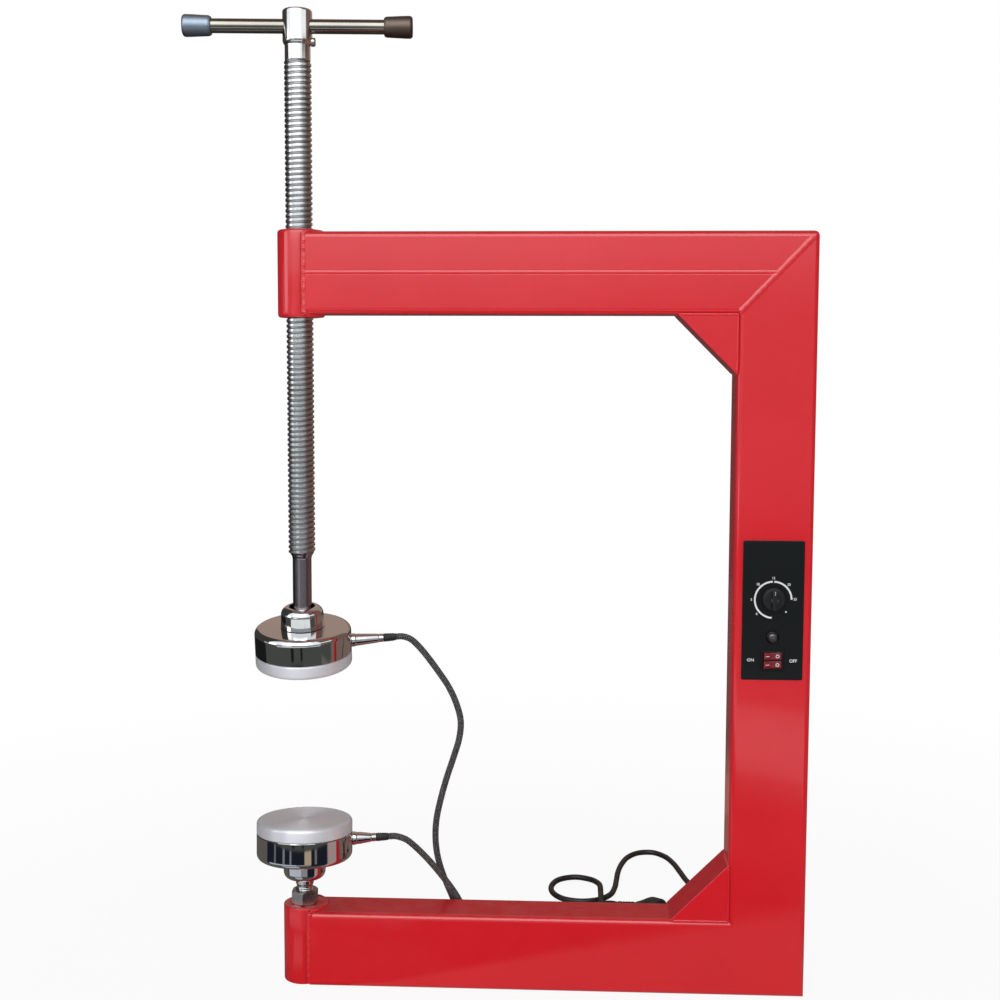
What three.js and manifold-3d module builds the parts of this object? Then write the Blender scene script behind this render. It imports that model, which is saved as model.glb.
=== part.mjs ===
// Bench tyre vulcanizer: a red C-frame, a press screw over two heated heads, a timer panel on the column.
// Millimetres, +Z up. The origin is the middle of the base's underside and the front faces -Y.
// The screw axis stands on the left, the column on the right.

import * as THREE from 'three';
import { mergeVertices } from 'three/addons/utils/BufferGeometryUtils.js';
import Module from 'manifold-3d';

const wasm = await Module();
wasm.setup();

// Frame
const frameHeight = 740;
const frameWidth = 515;
const tubeFace = 75;
const tubeDepth = 50;
const tubeWall = 3;
const tubeCorner = 6;
const upperTubeHeight = 39;
const gussetLeg = 56;
const gussetWall = 3;
const weldGap = 0.3;
const bossRadius = 21;
const upperBossProud = 3;
const bossEdge = 2.8;
const lowerBossProud = 2;
const armSetback = 8;
const clearance = 0.3;
const overrun = 5;

// Press screw
const screwRadius = 13;
const threadDepth = 2.5;
const threadPitch = 5;
const threadLength = 470.7;
const threadChamfer = 2;
const threadRunning = 0.35;
const shankRadius = 9.25;
const shankRise = 69.8;
const spigotRadius = 8;
const spigotLength = 19;
const ballRadius = 13;

// Handle
const hubNeckRadius = 12.3;
const hubNeckLength = 16.2;
const hubRadius = 14.2;
const hubHeight = 32.3;
const hubChamfer = 1.5;
const barRise = 33.1;
const barRadius = 6.8;
const barSpan = 218.4;
const barShift = 0.5;
const handleTurnDegrees = 4;
const capRadius = 10.5;
const capLength = 27;
const capTaper = 0.8;
const capTip = 6;
const capChamfer = 2;
const fitGap = 0.15;
const grubRadius = 4.2;
const grubRise = 18.5;
const grubProud = 3;

// Heads, with heights measured from the ball's centre
const headRadius = 47.5;
const plateThickness = 13.5;
const plateEdge = 4;
const sideHeight = 18.5;
const coverEdge = 7.5;
const coverWall = 2;
const ballDepth = 43.5;
const plateGap = 154.6;
const socketRadius = 21.6;
const socketHeight = 20.4;
const socketEdge = 8.4;
const socketMouthRadius = 12.8;
const socketThroatRadius = 11.4;
const pedestalRadius = 20;
const seatRim = 0.5;
const linerWall = 2.6;
const ballGap = 0.4;
const upperTiltDegrees = 9.1;
const lowerTiltDegrees = -2.8;
const linerReachDegrees = 78;

// Inside each head
const elementInnerRadius = 22;
const elementOuterRadius = 40;
const elementThickness = 4.7;
const insulationOuterRadius = 42;
const insulationThickness = 5;
const thermostatRadius = 8;
const thermostatTopRadius = 5.5;
const thermostatHeight = 7.5;
const thermostatTopHeight = 4;
const thermostatPlace = 31;
const thermostatRoom = 1.2;

// Cable sleeves on the heads
const sleeveTurnDegrees = 15;
const sleeveRootRadius = 6.6;
const sleeveTipRadius = 4.1;
const sleeveSpigotRadius = 5;
const sleeveSpigotLength = 3.4;
const sleeveBore = 2;
const upperSleeveLength = 32;
const lowerSleeveLength = 24;
const upperSleeveRise = 21.2;
const lowerSleeveRise = 23.25;
const bootRadius = 4.4;
const bootTipRadius = 3.6;
const bootLength = 12;

// Lower ball stud
const studRise = 42.1;
const studRadius = 9;
const studDepth = 58;
const studBossFloor = 12;
const nutFlats = 24;
const nutHeight = 13;

// Control panel
const panelWidth = 58;
const panelHeight = 134;
const panelThickness = 1.5;
const panelMiddle = 381.8;
const panelCorner = 1.5;
const windowWidth = 46;
const windowHeight = 122;
const dialRise = 11.4;
const knobRadius = 11.3;
const knobTopRadius = 10.4;
const knobSkirt = 4;
const knobHeight = 10;
const knobRecessRadius = 9;
const knobStandOff = 0.5;
const gripWidth = 5;
const gripHeight = 7;
const gripLength = 19;
const shaftRadius = 3;
const shaftReach = 13;
const shaftDepth = 14;
const bushRadius = 4.8;
const bushBore = 3.4;
const bushLength = 6.2;
const timerWidth = 38;
const timerDepth = 24;
const timerNutFlats = 14;
const timerNutHeight = 2.6;
const lampDrop = 25.4;
const lampBodyRadius = 4.8;
const lampBodyDepth = 18;
const lampBezelRadius = 6.3;
const lampBezelHeight = 2.2;
const lampLensRadius = 4.1;
const lampLensHeight = 3.6;
const lampBezelBore = 4.4;
const switchDrop = 47.8;
const switchWidth = 22;
const switchHeight = 19;
const switchBodyWidth = 19.4;
const switchBodyHeight = 16.8;
const switchBodyDepth = 18;
const switchRimHeight = 1.6;
const rockerPitch = 8.2;
const rockerHeight = 7;
const rockerLength = 17.6;
const rockerDepth = 4.6;
const rockerTaper = 1.3;
const rockerTiltDegrees = 10;
const pocketDepth = 8;
const pocketGap = 0.35;

// Terminal block in the column
const terminalRise = 262;
const terminalLength = 40;
const terminalHeight = 18;
const terminalDepth = 13;

// Where the leads and the mains cord enter
const grommetRise = 37;
const upperGrommetX = 124;
const lowerGrommetX = 98;
const grommetRadius = 8.5;
const grommetNeckRadius = 6.2;
const grommetFlange = 2.2;
const grommetBore = 3.4;
const glandRise = 100;
const glandThreadRadius = 6.3;
const glandFlats = 19;
const glandHexHeight = 5.7;
const glandInner = 13;
const glandTailRadius = 8.4;
const glandTailTipRadius = 4.6;
const glandTailLength = 34;
const glandBore = 2.4;

// Cords
const leadRadius = 3.25;
const mainsRadius = 3.25;
const cordStep = 18;
const coilFromGland = 200;
const coilY = 132;
const coilOuterRadius = 44.5;
const coilPitch = 7.1;
const coilInwardTurns = 2.125;
const coilClimbTurns = 0.5;
const coilTuck = 1.5;
const floorLift = 0.15;
const plugFromGland = 137.3;
const plugY = 163.5;
const plugTurnDegrees = -35;
const plugRadius = 18.5;
const plugBaseLength = 14;
const plugShoulderRadius = 9;
const plugShoulderAt = 31;
const plugTailRadius = 4.6;
const plugLength = 55;
const plugEdge = 2;
const pinRadius = 2.4;
const pinLength = 19;
const pinSpacing = 19;
const pinSeat = 8;

// Facets
const roundSides = 24;
const fineSides = 26;
const smallSides = 12;
const threadSides = 8;
const cordSides = 8;
const coilSides = 6;
const coilSteps = 24;
const cornerSteps = 2;
const arcSteps = 3;
const ballSteps = 7;
const cupSteps = 4;

// Places worked out from the sizes above
const frontY = -tubeDepth / 2;
const backY = tubeDepth / 2;
const rightX = frameWidth / 2;
const columnLeftX = rightX - tubeFace;
const columnX = rightX - tubeFace / 2;
const glandX = columnX;
const coilX = glandX - coilFromGland;
const plugX = glandX - plugFromGland;
const screwX = -frameWidth / 2 + bossRadius;
const upperArmBottom = frameHeight - 2 * upperTubeHeight;
const lowerBossTop = tubeFace + lowerBossProud;
const lowerBallZ = lowerBossTop + studRise;
const upperBallZ = lowerBallZ + 2 * ballDepth + plateGap;
const threadBottom = upperBallZ + shankRise;
const threadTop = threadBottom + threadLength;
const panelFaceY = frontY - panelThickness;
const dialZ = panelMiddle + dialRise;
const lampZ = panelMiddle - lampDrop;
const switchZ = panelMiddle - switchDrop;

const degrees = Math.PI / 180;
const mergeDistance = 0.0001;

// Materials
function finish(color, roughness, metalness) {
  return new THREE.MeshStandardMaterial({ color, roughness, metalness });
}
const redPaint = finish(0xd42028, 0.25, 0);
const chrome = finish(0xd8d8dc, 0.08, 1);
const steel = finish(0x9a9690, 0.3, 1);
const satinSteel = finish(0x7f7a74, 0.45, 1);
const aluminium = finish(0xc9cad0, 0.35, 1);
const bronze = finish(0xa8763c, 0.4, 1);
const blackPlastic = finish(0x121416, 0.4, 0);
const greyPlastic = finish(0x8a8c8e, 0.6, 0);
const redPlastic = finish(0xb01020, 0.3, 0);
const smokedLens = finish(0x40201c, 0.1, 0);
const mica = finish(0xb8a888, 0.8, 0);
const rubber = finish(0x141414, 0.8, 0);
const braid = finish(0x1c1c1e, 0.85, 0);
const mainsVinyl = finish(0x101010, 0.5, 0);
const brass = finish(0xc9a24a, 0.35, 1);

// Closed meshes and booleans

// Vertices merged, collapsed triangles dropped, and faces turned to point out.
function closed(geometry) {
  const bare = geometry.clone();
  bare.deleteAttribute('normal');
  bare.deleteAttribute('uv');
  const merged = mergeVertices(bare, mergeDistance);
  const place = merged.attributes.position;
  const kept = [];
  let volume = 0;
  const a = new THREE.Vector3();
  const b = new THREE.Vector3();
  const c = new THREE.Vector3();
  for (let i = 0; i < merged.index.count; i += 3) {
    const [p, q, r] = [0, 1, 2].map((k) => merged.index.getX(i + k));
    if (p === q || q === r || r === p) continue;
    kept.push([p, q, r]);
    a.fromBufferAttribute(place, p);
    b.fromBufferAttribute(place, q);
    c.fromBufferAttribute(place, r);
    volume += a.dot(b.cross(c));
  }
  const turned = volume < 0 ? kept.map(([p, q, r]) => [p, r, q]) : kept;
  merged.setIndex(turned.flat());
  return merged;
}

function toSolid(geometry) {
  const merged = closed(geometry);
  const vertProperties = new Float32Array(merged.attributes.position.array);
  const triVerts = new Uint32Array(merged.index.array);
  return new wasm.Manifold(new wasm.Mesh({ numProp: 3, vertProperties, triVerts }));
}

function fromSolid(body) {
  const mesh = body.getMesh();
  const geometry = new THREE.BufferGeometry();
  geometry.setAttribute('position', new THREE.BufferAttribute(mesh.vertProperties, mesh.numProp));
  geometry.setIndex(new THREE.BufferAttribute(mesh.triVerts, 1));
  return geometry;
}

function cut(geometry, ...tools) {
  return fromSolid(tools.reduce((body, tool) => body.subtract(toSolid(tool)), toSolid(geometry)));
}

function join(geometry, ...others) {
  return fromSolid(others.reduce((body, other) => body.add(toSolid(other)), toSolid(geometry)));
}

function common(geometry, other) {
  return fromSolid(toSolid(geometry).intersect(toSolid(other)));
}

// Basic shapes
const up = new THREE.Vector3(0, 0, 1);

// A profile of [radius, height] points turned about the Z axis.
function turned(profile, sides = roundSides) {
  const points = profile.map(([radius, height]) => new THREE.Vector2(radius, height));
  return new THREE.LatheGeometry(points, sides).rotateX(Math.PI / 2);
}

function rod(radius, from, to, sides = roundSides) {
  return turned([[0, from], [radius, from], [radius, to], [0, to]], sides);
}

function ring(inner, outer, from, to, sides = roundSides) {
  return turned([[inner, from], [outer, from], [outer, to], [inner, to], [inner, from]], sides);
}

function block(x0, x1, y0, y1, z0, z1) {
  return new THREE.BoxGeometry(x1 - x0, y1 - y0, z1 - z0)
    .translate((x0 + x1) / 2, (y0 + y1) / 2, (z0 + z1) / 2);
}

// A shape extruded along Z.
function prism(shape, from, to) {
  const options = { depth: to - from, steps: 1, bevelEnabled: false, curveSegments: cornerSteps };
  return new THREE.ExtrudeGeometry(shape, options).translate(0, 0, from);
}

// A shape drawn as seen from the front, with its y upwards, extruded from one Y to another.
function frontPrism(shape, fromY, toY) {
  return prism(shape, -toY, -fromY).rotateX(Math.PI / 2);
}

function polygon(points) {
  return new THREE.Shape(points.map(([x, y]) => new THREE.Vector2(x, y)));
}

function roundedRectangle(width, height, radius, Kind = THREE.Shape) {
  const x = width / 2 - radius;
  const y = height / 2 - radius;
  const outline = new Kind();
  outline.absarc(x, y, radius, 0, Math.PI / 2, false);
  outline.absarc(-x, y, radius, Math.PI / 2, Math.PI, false);
  outline.absarc(-x, -y, radius, Math.PI, 1.5 * Math.PI, false);
  outline.absarc(x, -y, radius, 1.5 * Math.PI, 2 * Math.PI, false);
  outline.closePath();
  return outline;
}

// A hexagonal nut along Z, given its width over the flats.
function hexNut(flats, from, to, bore) {
  const body = turned([[0, from], [flats / Math.sqrt(3), from], [flats / Math.sqrt(3), to], [0, to]], 6);
  return cut(body, rod(bore, from - overrun, to + overrun));
}

// Turns a shape made along Z so that it points the given way.
function pointing(geometry, x, y, z) {
  const way = new THREE.Vector3(x, y, z).normalize();
  return geometry.applyQuaternion(new THREE.Quaternion().setFromUnitVectors(up, way));
}

// Points on an arc as [radius, height], from one angle to another, for a turned profile.
function arc(centreRadius, centreHeight, radius, fromDegrees, toDegrees, steps = arcSteps) {
  return Array.from({ length: steps + 1 }, (_, i) => {
    const angle = (fromDegrees + ((toDegrees - fromDegrees) * i) / steps) * degrees;
    return [centreRadius + radius * Math.cos(angle), centreHeight + radius * Math.sin(angle)];
  });
}

// The object as a scene graph
const machine = new THREE.Group();

function add(name, geometry, material, parent = machine) {
  const shape = closed(geometry);
  shape.computeVertexNormals();
  const mesh = new THREE.Mesh(shape, material);
  mesh.name = name;
  parent.add(mesh);
  return mesh;
}

// Frame tubes

// A hollow rectangular tube along Z, open at both ends.
function tube(width, depth, from, to) {
  const outline = roundedRectangle(width, depth, tubeCorner);
  const inner = roundedRectangle(
    width - 2 * tubeWall, depth - 2 * tubeWall, tubeCorner - tubeWall, THREE.Path);
  outline.holes.push(inner);
  return prism(outline, from, to);
}

// The same tube along X, its width upright.
function tubeAlongX(width, depth, from, to, middleZ) {
  return tube(width, depth, from, to).rotateY(Math.PI / 2).translate(0, 0, middleZ);
}

// A wedge that takes away all of a tube on one side of a mitre from its inner to its outer corner.
function mitre(inner, outer, side) {
  const along = new THREE.Vector2(...outer).sub(new THREE.Vector2(...inner)).normalize();
  const away = new THREE.Vector2(along.y, -along.x).multiplyScalar(side);
  const start = new THREE.Vector2(...inner).addScaledVector(along, -frameWidth);
  const end = new THREE.Vector2(...outer).addScaledVector(along, frameWidth);
  const near = away.clone().multiplyScalar(-weldGap / 2);
  const far = away.clone().multiplyScalar(frameWidth);
  const points = [
    start.clone().add(near), end.clone().add(near), end.clone().add(far), start.clone().add(far),
  ];
  return frontPrism(new THREE.Shape(points), frontY - overrun, backY + overrun);
}

const upperInner = [columnLeftX, upperArmBottom];
const upperOuter = [rightX, frameHeight];
const lowerInner = [columnLeftX, tubeFace];
const lowerOuter = [rightX, 0];
const bossRoom = bossRadius + weldGap;

function buildFrame() {
  const armStart = screwX + armSetback;
  const bossCope = rod(bossRoom, -overrun, frameHeight + overrun).translate(screwX, 0, 0);
  const upperTubes = [
    ['upper_arm_top_tube', frameHeight - upperTubeHeight / 2],
    ['upper_arm_bottom_tube', upperArmBottom + upperTubeHeight / 2],
  ];
  for (const [name, middleZ] of upperTubes) {
    const straight = tubeAlongX(upperTubeHeight, tubeDepth, armStart, rightX, middleZ);
    add(name, cut(straight, bossCope, mitre(upperInner, upperOuter, 1)), redPaint);
  }

  const lowerArm = tubeAlongX(tubeFace, tubeDepth, armStart, rightX, tubeFace / 2);
  const grommetHole = rod(grommetNeckRadius + clearance, -overrun, overrun, smallSides);
  const grommetHoles = [upperGrommetX, lowerGrommetX].map((x) =>
    pointing(grommetHole.clone(), 0, 1, 0).translate(x, backY, grommetRise));
  add('lower_arm_tube', cut(lowerArm, bossCope, mitre(lowerInner, lowerOuter, -1), ...grommetHoles),
    redPaint);

  const column = tube(tubeFace, tubeDepth, 0, frameHeight).translate(columnX, 0, 0);
  const window = block(
    columnX - windowWidth / 2, columnX + windowWidth / 2,
    frontY - overrun, frontY + tubeWall + overrun,
    panelMiddle - windowHeight / 2, panelMiddle + windowHeight / 2);
  const glandHole = pointing(rod(glandThreadRadius + clearance, -overrun, overrun, smallSides), 0, 1, 0)
    .translate(glandX, backY, glandRise);
  add('column_tube',
    cut(column, mitre(upperInner, upperOuter, -1), mitre(lowerInner, lowerOuter, 1),
      window, glandHole),
    redPaint);

  const bossBore = screwRadius + threadRunning;
  const bossBottom = upperArmBottom - upperBossProud;
  const bossTop = frameHeight + upperBossProud;
  const upperBoss = turned([
    [bossBore, bossBottom], ...arc(bossRadius - bossEdge, bossBottom + bossEdge, bossEdge, -90, 0),
    ...arc(bossRadius - bossEdge, bossTop - bossEdge, bossEdge, 0, 90), [bossBore, bossTop],
    [bossBore, bossBottom],
  ], fineSides);
  add('screw_boss', upperBoss.translate(screwX, 0, 0), redPaint);
  const lowerBoss = turned([
    [0, 0], [bossRadius, 0], [bossRadius, lowerBossTop], [studRadius + clearance, lowerBossTop],
    [studRadius + clearance, studBossFloor], [0, studBossFloor],
  ], fineSides);
  add('stud_boss', lowerBoss.translate(screwX, 0, 0), redPaint);
}

// A box gusset: a folded plate with two triangular cheeks, open towards the corner it braces.
function gusset(cornerZ, direction) {
  const x = columnLeftX - weldGap;
  const z = cornerZ + direction * weldGap;
  const outline = polygon([[x, z], [x - gussetLeg, z], [x, z + direction * gussetLeg]]);
  const legInside = gussetLeg - gussetWall * Math.SQRT2;
  const room = polygon([
    [x + overrun, z - direction * overrun],
    [x - legInside - overrun, z - direction * overrun],
    [x + overrun, z + direction * (legInside + overrun)],
  ]);
  return cut(frontPrism(outline, frontY, backY),
    frontPrism(room, frontY + gussetWall, backY - gussetWall));
}

function buildGussets() {
  add('upper_gusset', gusset(upperArmBottom, -1), redPaint);
  add('lower_gusset', gusset(tubeFace, 1), redPaint);
}

// Press screw and handle

// A right-hand screw thread with sharp crests, as one closed surface, a turn too long at each end.
function threadBlank(crest, root, pitch, length) {
  const turns = Math.ceil(length / pitch) + 2;
  const last = turns * threadSides;
  const positions = [];
  const put = (radius, n, lift) => {
    const angle = (2 * Math.PI * n) / threadSides;
    const height = pitch * (n / threadSides + lift - 1);
    positions.push(radius * Math.cos(angle), radius * Math.sin(angle), height);
  };
  for (let n = 0; n <= last + threadSides; n += 1) put(crest, n, 0);
  const rootAt = last + threadSides + 1;
  for (let n = 0; n <= last; n += 1) put(root, n, 0.5);
  const bottom = rootAt + last + 1;
  positions.push(0, 0, -pitch);
  positions.push(0, 0, pitch * turns);
  const top = bottom + 1;

  const faces = [];
  for (let n = 0; n < last; n += 1) {
    const low = [n, n + 1];
    const middle = [rootAt + n, rootAt + n + 1];
    const high = [n + threadSides, n + threadSides + 1];
    faces.push(low[0], low[1], middle[1], low[0], middle[1], middle[0]);
    faces.push(middle[0], middle[1], high[1], middle[0], high[1], high[0]);
  }
  for (let n = 0; n < threadSides; n += 1) {
    faces.push(bottom, n + 1, n);
    faces.push(top, last + n, last + n + 1);
  }
  faces.push(bottom, rootAt, threadSides, bottom, 0, rootAt);
  faces.push(top, last + threadSides, rootAt + last, top, rootAt + last, last);

  const geometry = new THREE.BufferGeometry();
  geometry.setAttribute('position', new THREE.Float32BufferAttribute(positions, 3));
  geometry.setIndex(faces);
  return geometry;
}

function buildScrew() {
  const blank = threadBlank(screwRadius, screwRadius - threadDepth, threadPitch, threadLength);
  const envelope = turned([
    [0, 0], [screwRadius - threadChamfer, 0], [screwRadius + overrun, threadChamfer + overrun],
    [screwRadius + overrun, threadLength], [0, threadLength],
  ]);
  const thread = common(blank, envelope).translate(0, 0, threadBottom);
  const shankMeetsBall = Math.asin(shankRadius / ballRadius) / degrees;
  const spindleEnd = turned([
    ...arc(0, upperBallZ, ballRadius, -90, 90 - shankMeetsBall, ballSteps),
    [shankRadius, threadBottom + threadChamfer], [0, threadBottom + threadChamfer],
  ]);
  const spigot = rod(spigotRadius, threadTop - threadPitch, threadTop + spigotLength, smallSides);
  add('press_screw', join(thread, spindleEnd, spigot).translate(screwX, 0, 0), steel);
}

function buildHandle() {
  const handle = new THREE.Group();
  handle.position.set(screwX, 0, threadTop + clearance);
  handle.rotation.z = handleTurnDegrees * degrees;
  machine.add(handle);

  const hubTop = hubNeckLength + hubHeight;
  const hubBody = turned([
    [0, 0], [hubNeckRadius, 0], [hubNeckRadius, hubNeckLength], [hubRadius - hubChamfer, hubNeckLength],
    [hubRadius, hubNeckLength + hubChamfer], [hubRadius, hubTop - hubChamfer],
    [hubRadius - hubChamfer, hubTop], [0, hubTop],
  ], fineSides);
  const spigotBore = rod(spigotRadius + fitGap, -overrun, spigotLength, smallSides);
  const crossBore = pointing(rod(barRadius + clearance, -barSpan / 2, barSpan / 2), 1, 0, 0)
    .translate(0, 0, barRise);
  const grubBore = pointing(rod(grubRadius + clearance, 0, barSpan / 2, smallSides), 1, 0, 0)
    .translate(0, 0, grubRise);
  add('handle_hub', cut(hubBody, spigotBore, crossBore, grubBore), chrome, handle);

  const grub = rod(grubRadius, spigotRadius + clearance, hubRadius + grubProud, smallSides);
  add('hub_grub_screw', pointing(grub, 1, 0, 0).translate(0, 0, grubRise), satinSteel, handle);

  const bar = new THREE.Group();
  bar.position.set(barShift, 0, barRise);
  handle.add(bar);
  const barHalf = barSpan / 2 - capTip - clearance;
  add('cross_bar', pointing(rod(barRadius, -barHalf, barHalf), 1, 0, 0), steel, bar);
  for (const [name, side] of [['bar_cap_left', -1], ['bar_cap_right', 1]]) {
    const inner = barSpan / 2 - capLength;
    const outer = barSpan / 2;
    const cap = turned([
      [barRadius + fitGap, inner], [capRadius - capTaper - capChamfer / 2, inner],
      [capRadius - capTaper, inner + capChamfer / 2], [capRadius, outer - capChamfer],
      [capRadius - capChamfer, outer], [0, outer], [0, outer - capTip],
      [barRadius + fitGap, outer - capTip], [barRadius + fitGap, inner],
    ]);
    add(name, pointing(cap, side, 0, 0), satinSteel, bar);
  }
}

// Heating heads, built with the ball centre at the origin and the plate below it

function buildHead(prefix, head, sleeveLength, sleeveRise, sleeveTurnWay) {
  const face = -ballDepth;
  const plateTop = face + plateThickness;
  const sideFoot = plateTop + clearance;
  const sideTop = sideFoot + sideHeight;
  const coverTop = sideTop + coverEdge;

  const plate = turned([
    [0, face], ...arc(headRadius - plateEdge, face + plateEdge, plateEdge, -90, 0, 3),
    [headRadius, plateTop], [0, plateTop],
  ], fineSides);
  add(`${prefix}_heating_plate`, plate, aluminium, head);

  const rim = headRadius - coverEdge;
  const pedestalRoom = pedestalRadius + clearance;
  const shell = turned([
    [headRadius, sideFoot], ...arc(rim, sideTop, coverEdge, 0, 90),
    [pedestalRoom, coverTop], [pedestalRoom, coverTop - coverWall],
    ...arc(rim, sideTop, coverEdge - coverWall, 90, 0), [headRadius - coverWall, sideFoot],
    [headRadius, sideFoot],
  ], fineSides);
  const sleeveTurn = sleeveTurnWay * sleeveTurnDegrees * degrees;
  const sleeveHole = pointing(rod(sleeveSpigotRadius + clearance, 0, 2 * headRadius, smallSides), 1, 0, 0)
    .translate(0, 0, face + sleeveRise).rotateZ(sleeveTurn);
  add(`${prefix}_head_cover`, cut(shell, sleeveHole), chrome, head);

  // The pedestal carries the bearing cup and stands up through the cover into the ball cap.
  const seat = ballRadius + 2 * ballGap + linerWall;
  const pedestal = turned([
    [0, sideFoot], [pedestalRadius, sideFoot], [pedestalRadius, seatRim], [seat, seatRim],
    [seat, 0], ...arc(0, 0, seat, linerReachDegrees - 90, -90, cupSteps),
  ]);
  add(`${prefix}_pedestal`, pedestal, satinSteel, head);

  const capFoot = coverTop + clearance;
  const capTop = capFoot + socketHeight;
  const socket = ballRadius + ballGap;
  const throat = Math.acos(socketThroatRadius / socket) / degrees;
  const capSkirt = seatRim + clearance;
  const skirtAngle = Math.asin(capSkirt / socket) / degrees;
  const ballCap = turned([
    [pedestalRoom, capFoot], [socketRadius, capFoot],
    ...arc(socketRadius - socketEdge, capTop - socketEdge, socketEdge, 0, 90),
    [socketMouthRadius, capTop], ...arc(0, 0, socket, throat, skirtAngle, 3),
    [pedestalRoom, capSkirt], [pedestalRoom, capFoot],
  ]);
  add(`${prefix}_ball_cap`, ballCap, chrome, head);

  const ringRoom = thermostatRadius + thermostatRoom;
  const thermostatHole = rod(ringRoom, sideFoot - overrun, coverTop, smallSides)
    .translate(thermostatPlace, 0, 0).rotateZ(-sleeveTurn - Math.PI / 2);
  const elementTop = sideFoot + elementThickness;
  const element = ring(elementInnerRadius, elementOuterRadius, sideFoot, elementTop);
  add(`${prefix}_heating_element`, cut(element, thermostatHole), mica, head);
  const padFoot = elementTop + clearance;
  const pad = ring(elementInnerRadius, insulationOuterRadius, padFoot, padFoot + insulationThickness);
  add(`${prefix}_insulation`, cut(pad, thermostatHole), greyPlastic, head);

  const thermostat = turned([
    [0, sideFoot], [thermostatRadius, sideFoot], [thermostatRadius, sideFoot + thermostatHeight],
    [thermostatTopRadius, sideFoot + thermostatHeight],
    [thermostatTopRadius, sideFoot + thermostatHeight + thermostatTopHeight],
    [0, sideFoot + thermostatHeight + thermostatTopHeight],
  ], smallSides).translate(thermostatPlace, 0, 0).rotateZ(-sleeveTurn - Math.PI / 2);
  add(`${prefix}_thermostat`, thermostat, blackPlastic, head);

  const sleeveRoot = headRadius + clearance;
  const sleeveEnd = sleeveRoot + sleeveLength;
  const sleeve = turned([
    [sleeveBore, sleeveRoot - sleeveSpigotLength], [sleeveSpigotRadius, sleeveRoot - sleeveSpigotLength],
    [sleeveSpigotRadius, sleeveRoot], [sleeveRootRadius, sleeveRoot], [sleeveTipRadius, sleeveEnd],
    [sleeveBore, sleeveEnd], [sleeveBore, sleeveRoot - sleeveSpigotLength],
  ], smallSides);
  const bootStart = sleeveEnd + clearance;
  const boot = turned([
    [sleeveBore, bootStart], [bootRadius, bootStart], [bootTipRadius, bootStart + bootLength],
    [sleeveBore, bootStart + bootLength], [sleeveBore, bootStart],
  ], smallSides);
  for (const [name, piece, material] of [['cable_sleeve', sleeve, chrome], ['cable_boot', boot, rubber]]) {
    const placed = pointing(piece, 1, 0, 0).translate(0, 0, face + sleeveRise).rotateZ(sleeveTurn);
    add(`${prefix}_${name}`, placed, material, head);
  }
}

// The bearing cup that stays with the ball while the head tilts round it.
function bearingCup(way) {
  const inner = ballRadius + ballGap;
  const outer = inner + linerWall;
  const cup = turned([
    ...arc(0, 0, outer, -90, linerReachDegrees - 90, cupSteps),
    ...arc(0, 0, inner, linerReachDegrees - 90, -90, cupSteps),
  ]);
  return pointing(cup, 0, 0, way);
}

function buildHeads() {
  const upperHead = new THREE.Group();
  upperHead.position.set(screwX, 0, upperBallZ);
  upperHead.rotation.x = upperTiltDegrees * degrees;
  machine.add(upperHead);
  buildHead('upper', upperHead, upperSleeveLength, upperSleeveRise, 1);
  add('upper_bearing_cup', bearingCup(1).translate(screwX, 0, upperBallZ), bronze);

  const lowerHead = new THREE.Group();
  lowerHead.position.set(screwX, 0, lowerBallZ);
  lowerHead.rotation.x = Math.PI + lowerTiltDegrees * degrees;
  machine.add(lowerHead);
  buildHead('lower', lowerHead, lowerSleeveLength, lowerSleeveRise, -1);
  add('lower_bearing_cup', bearingCup(-1).translate(screwX, 0, lowerBallZ), bronze);
}

function buildStud() {
  const shankMeetsBall = Math.asin(studRadius / ballRadius) / degrees;
  const studFoot = lowerBossTop - studDepth;
  const stud = turned([
    [0, studFoot], [studRadius - threadChamfer, studFoot], [studRadius, studFoot + threadChamfer],
    ...arc(0, lowerBallZ, ballRadius, shankMeetsBall - 90, 90, ballSteps),
  ]);
  add('ball_stud', stud.translate(screwX, 0, 0), chrome);
  const nutFoot = lowerBossTop + clearance;
  const nut = hexNut(nutFlats, nutFoot, nutFoot + nutHeight, studRadius + clearance);
  add('stud_lock_nut', nut.translate(screwX, 0, 0), steel);
}

// Control panel

// A shape made along Z, set on the panel so that it points out of it.
function onPanel(geometry, x, z) {
  return pointing(geometry, 0, -1, 0).translate(x, panelFaceY, z);
}

function buildPanel() {
  const timerHole = onPanel(rod(bushRadius + clearance, -overrun, overrun, smallSides), columnX, dialZ);
  const lampHole = onPanel(rod(lampBodyRadius + clearance, -overrun, overrun, smallSides), columnX, lampZ);
  const switchHole = block(
    columnX - switchBodyWidth / 2 - clearance, columnX + switchBodyWidth / 2 + clearance,
    panelFaceY - overrun, frontY + overrun,
    switchZ - switchBodyHeight / 2 - clearance, switchZ + switchBodyHeight / 2 + clearance);
  const plate = frontPrism(roundedRectangle(panelWidth, panelHeight, panelCorner), panelFaceY, frontY)
    .translate(columnX, 0, panelMiddle);
  add('control_panel', cut(plate, timerHole, lampHole, switchHole), blackPlastic);
}

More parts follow.
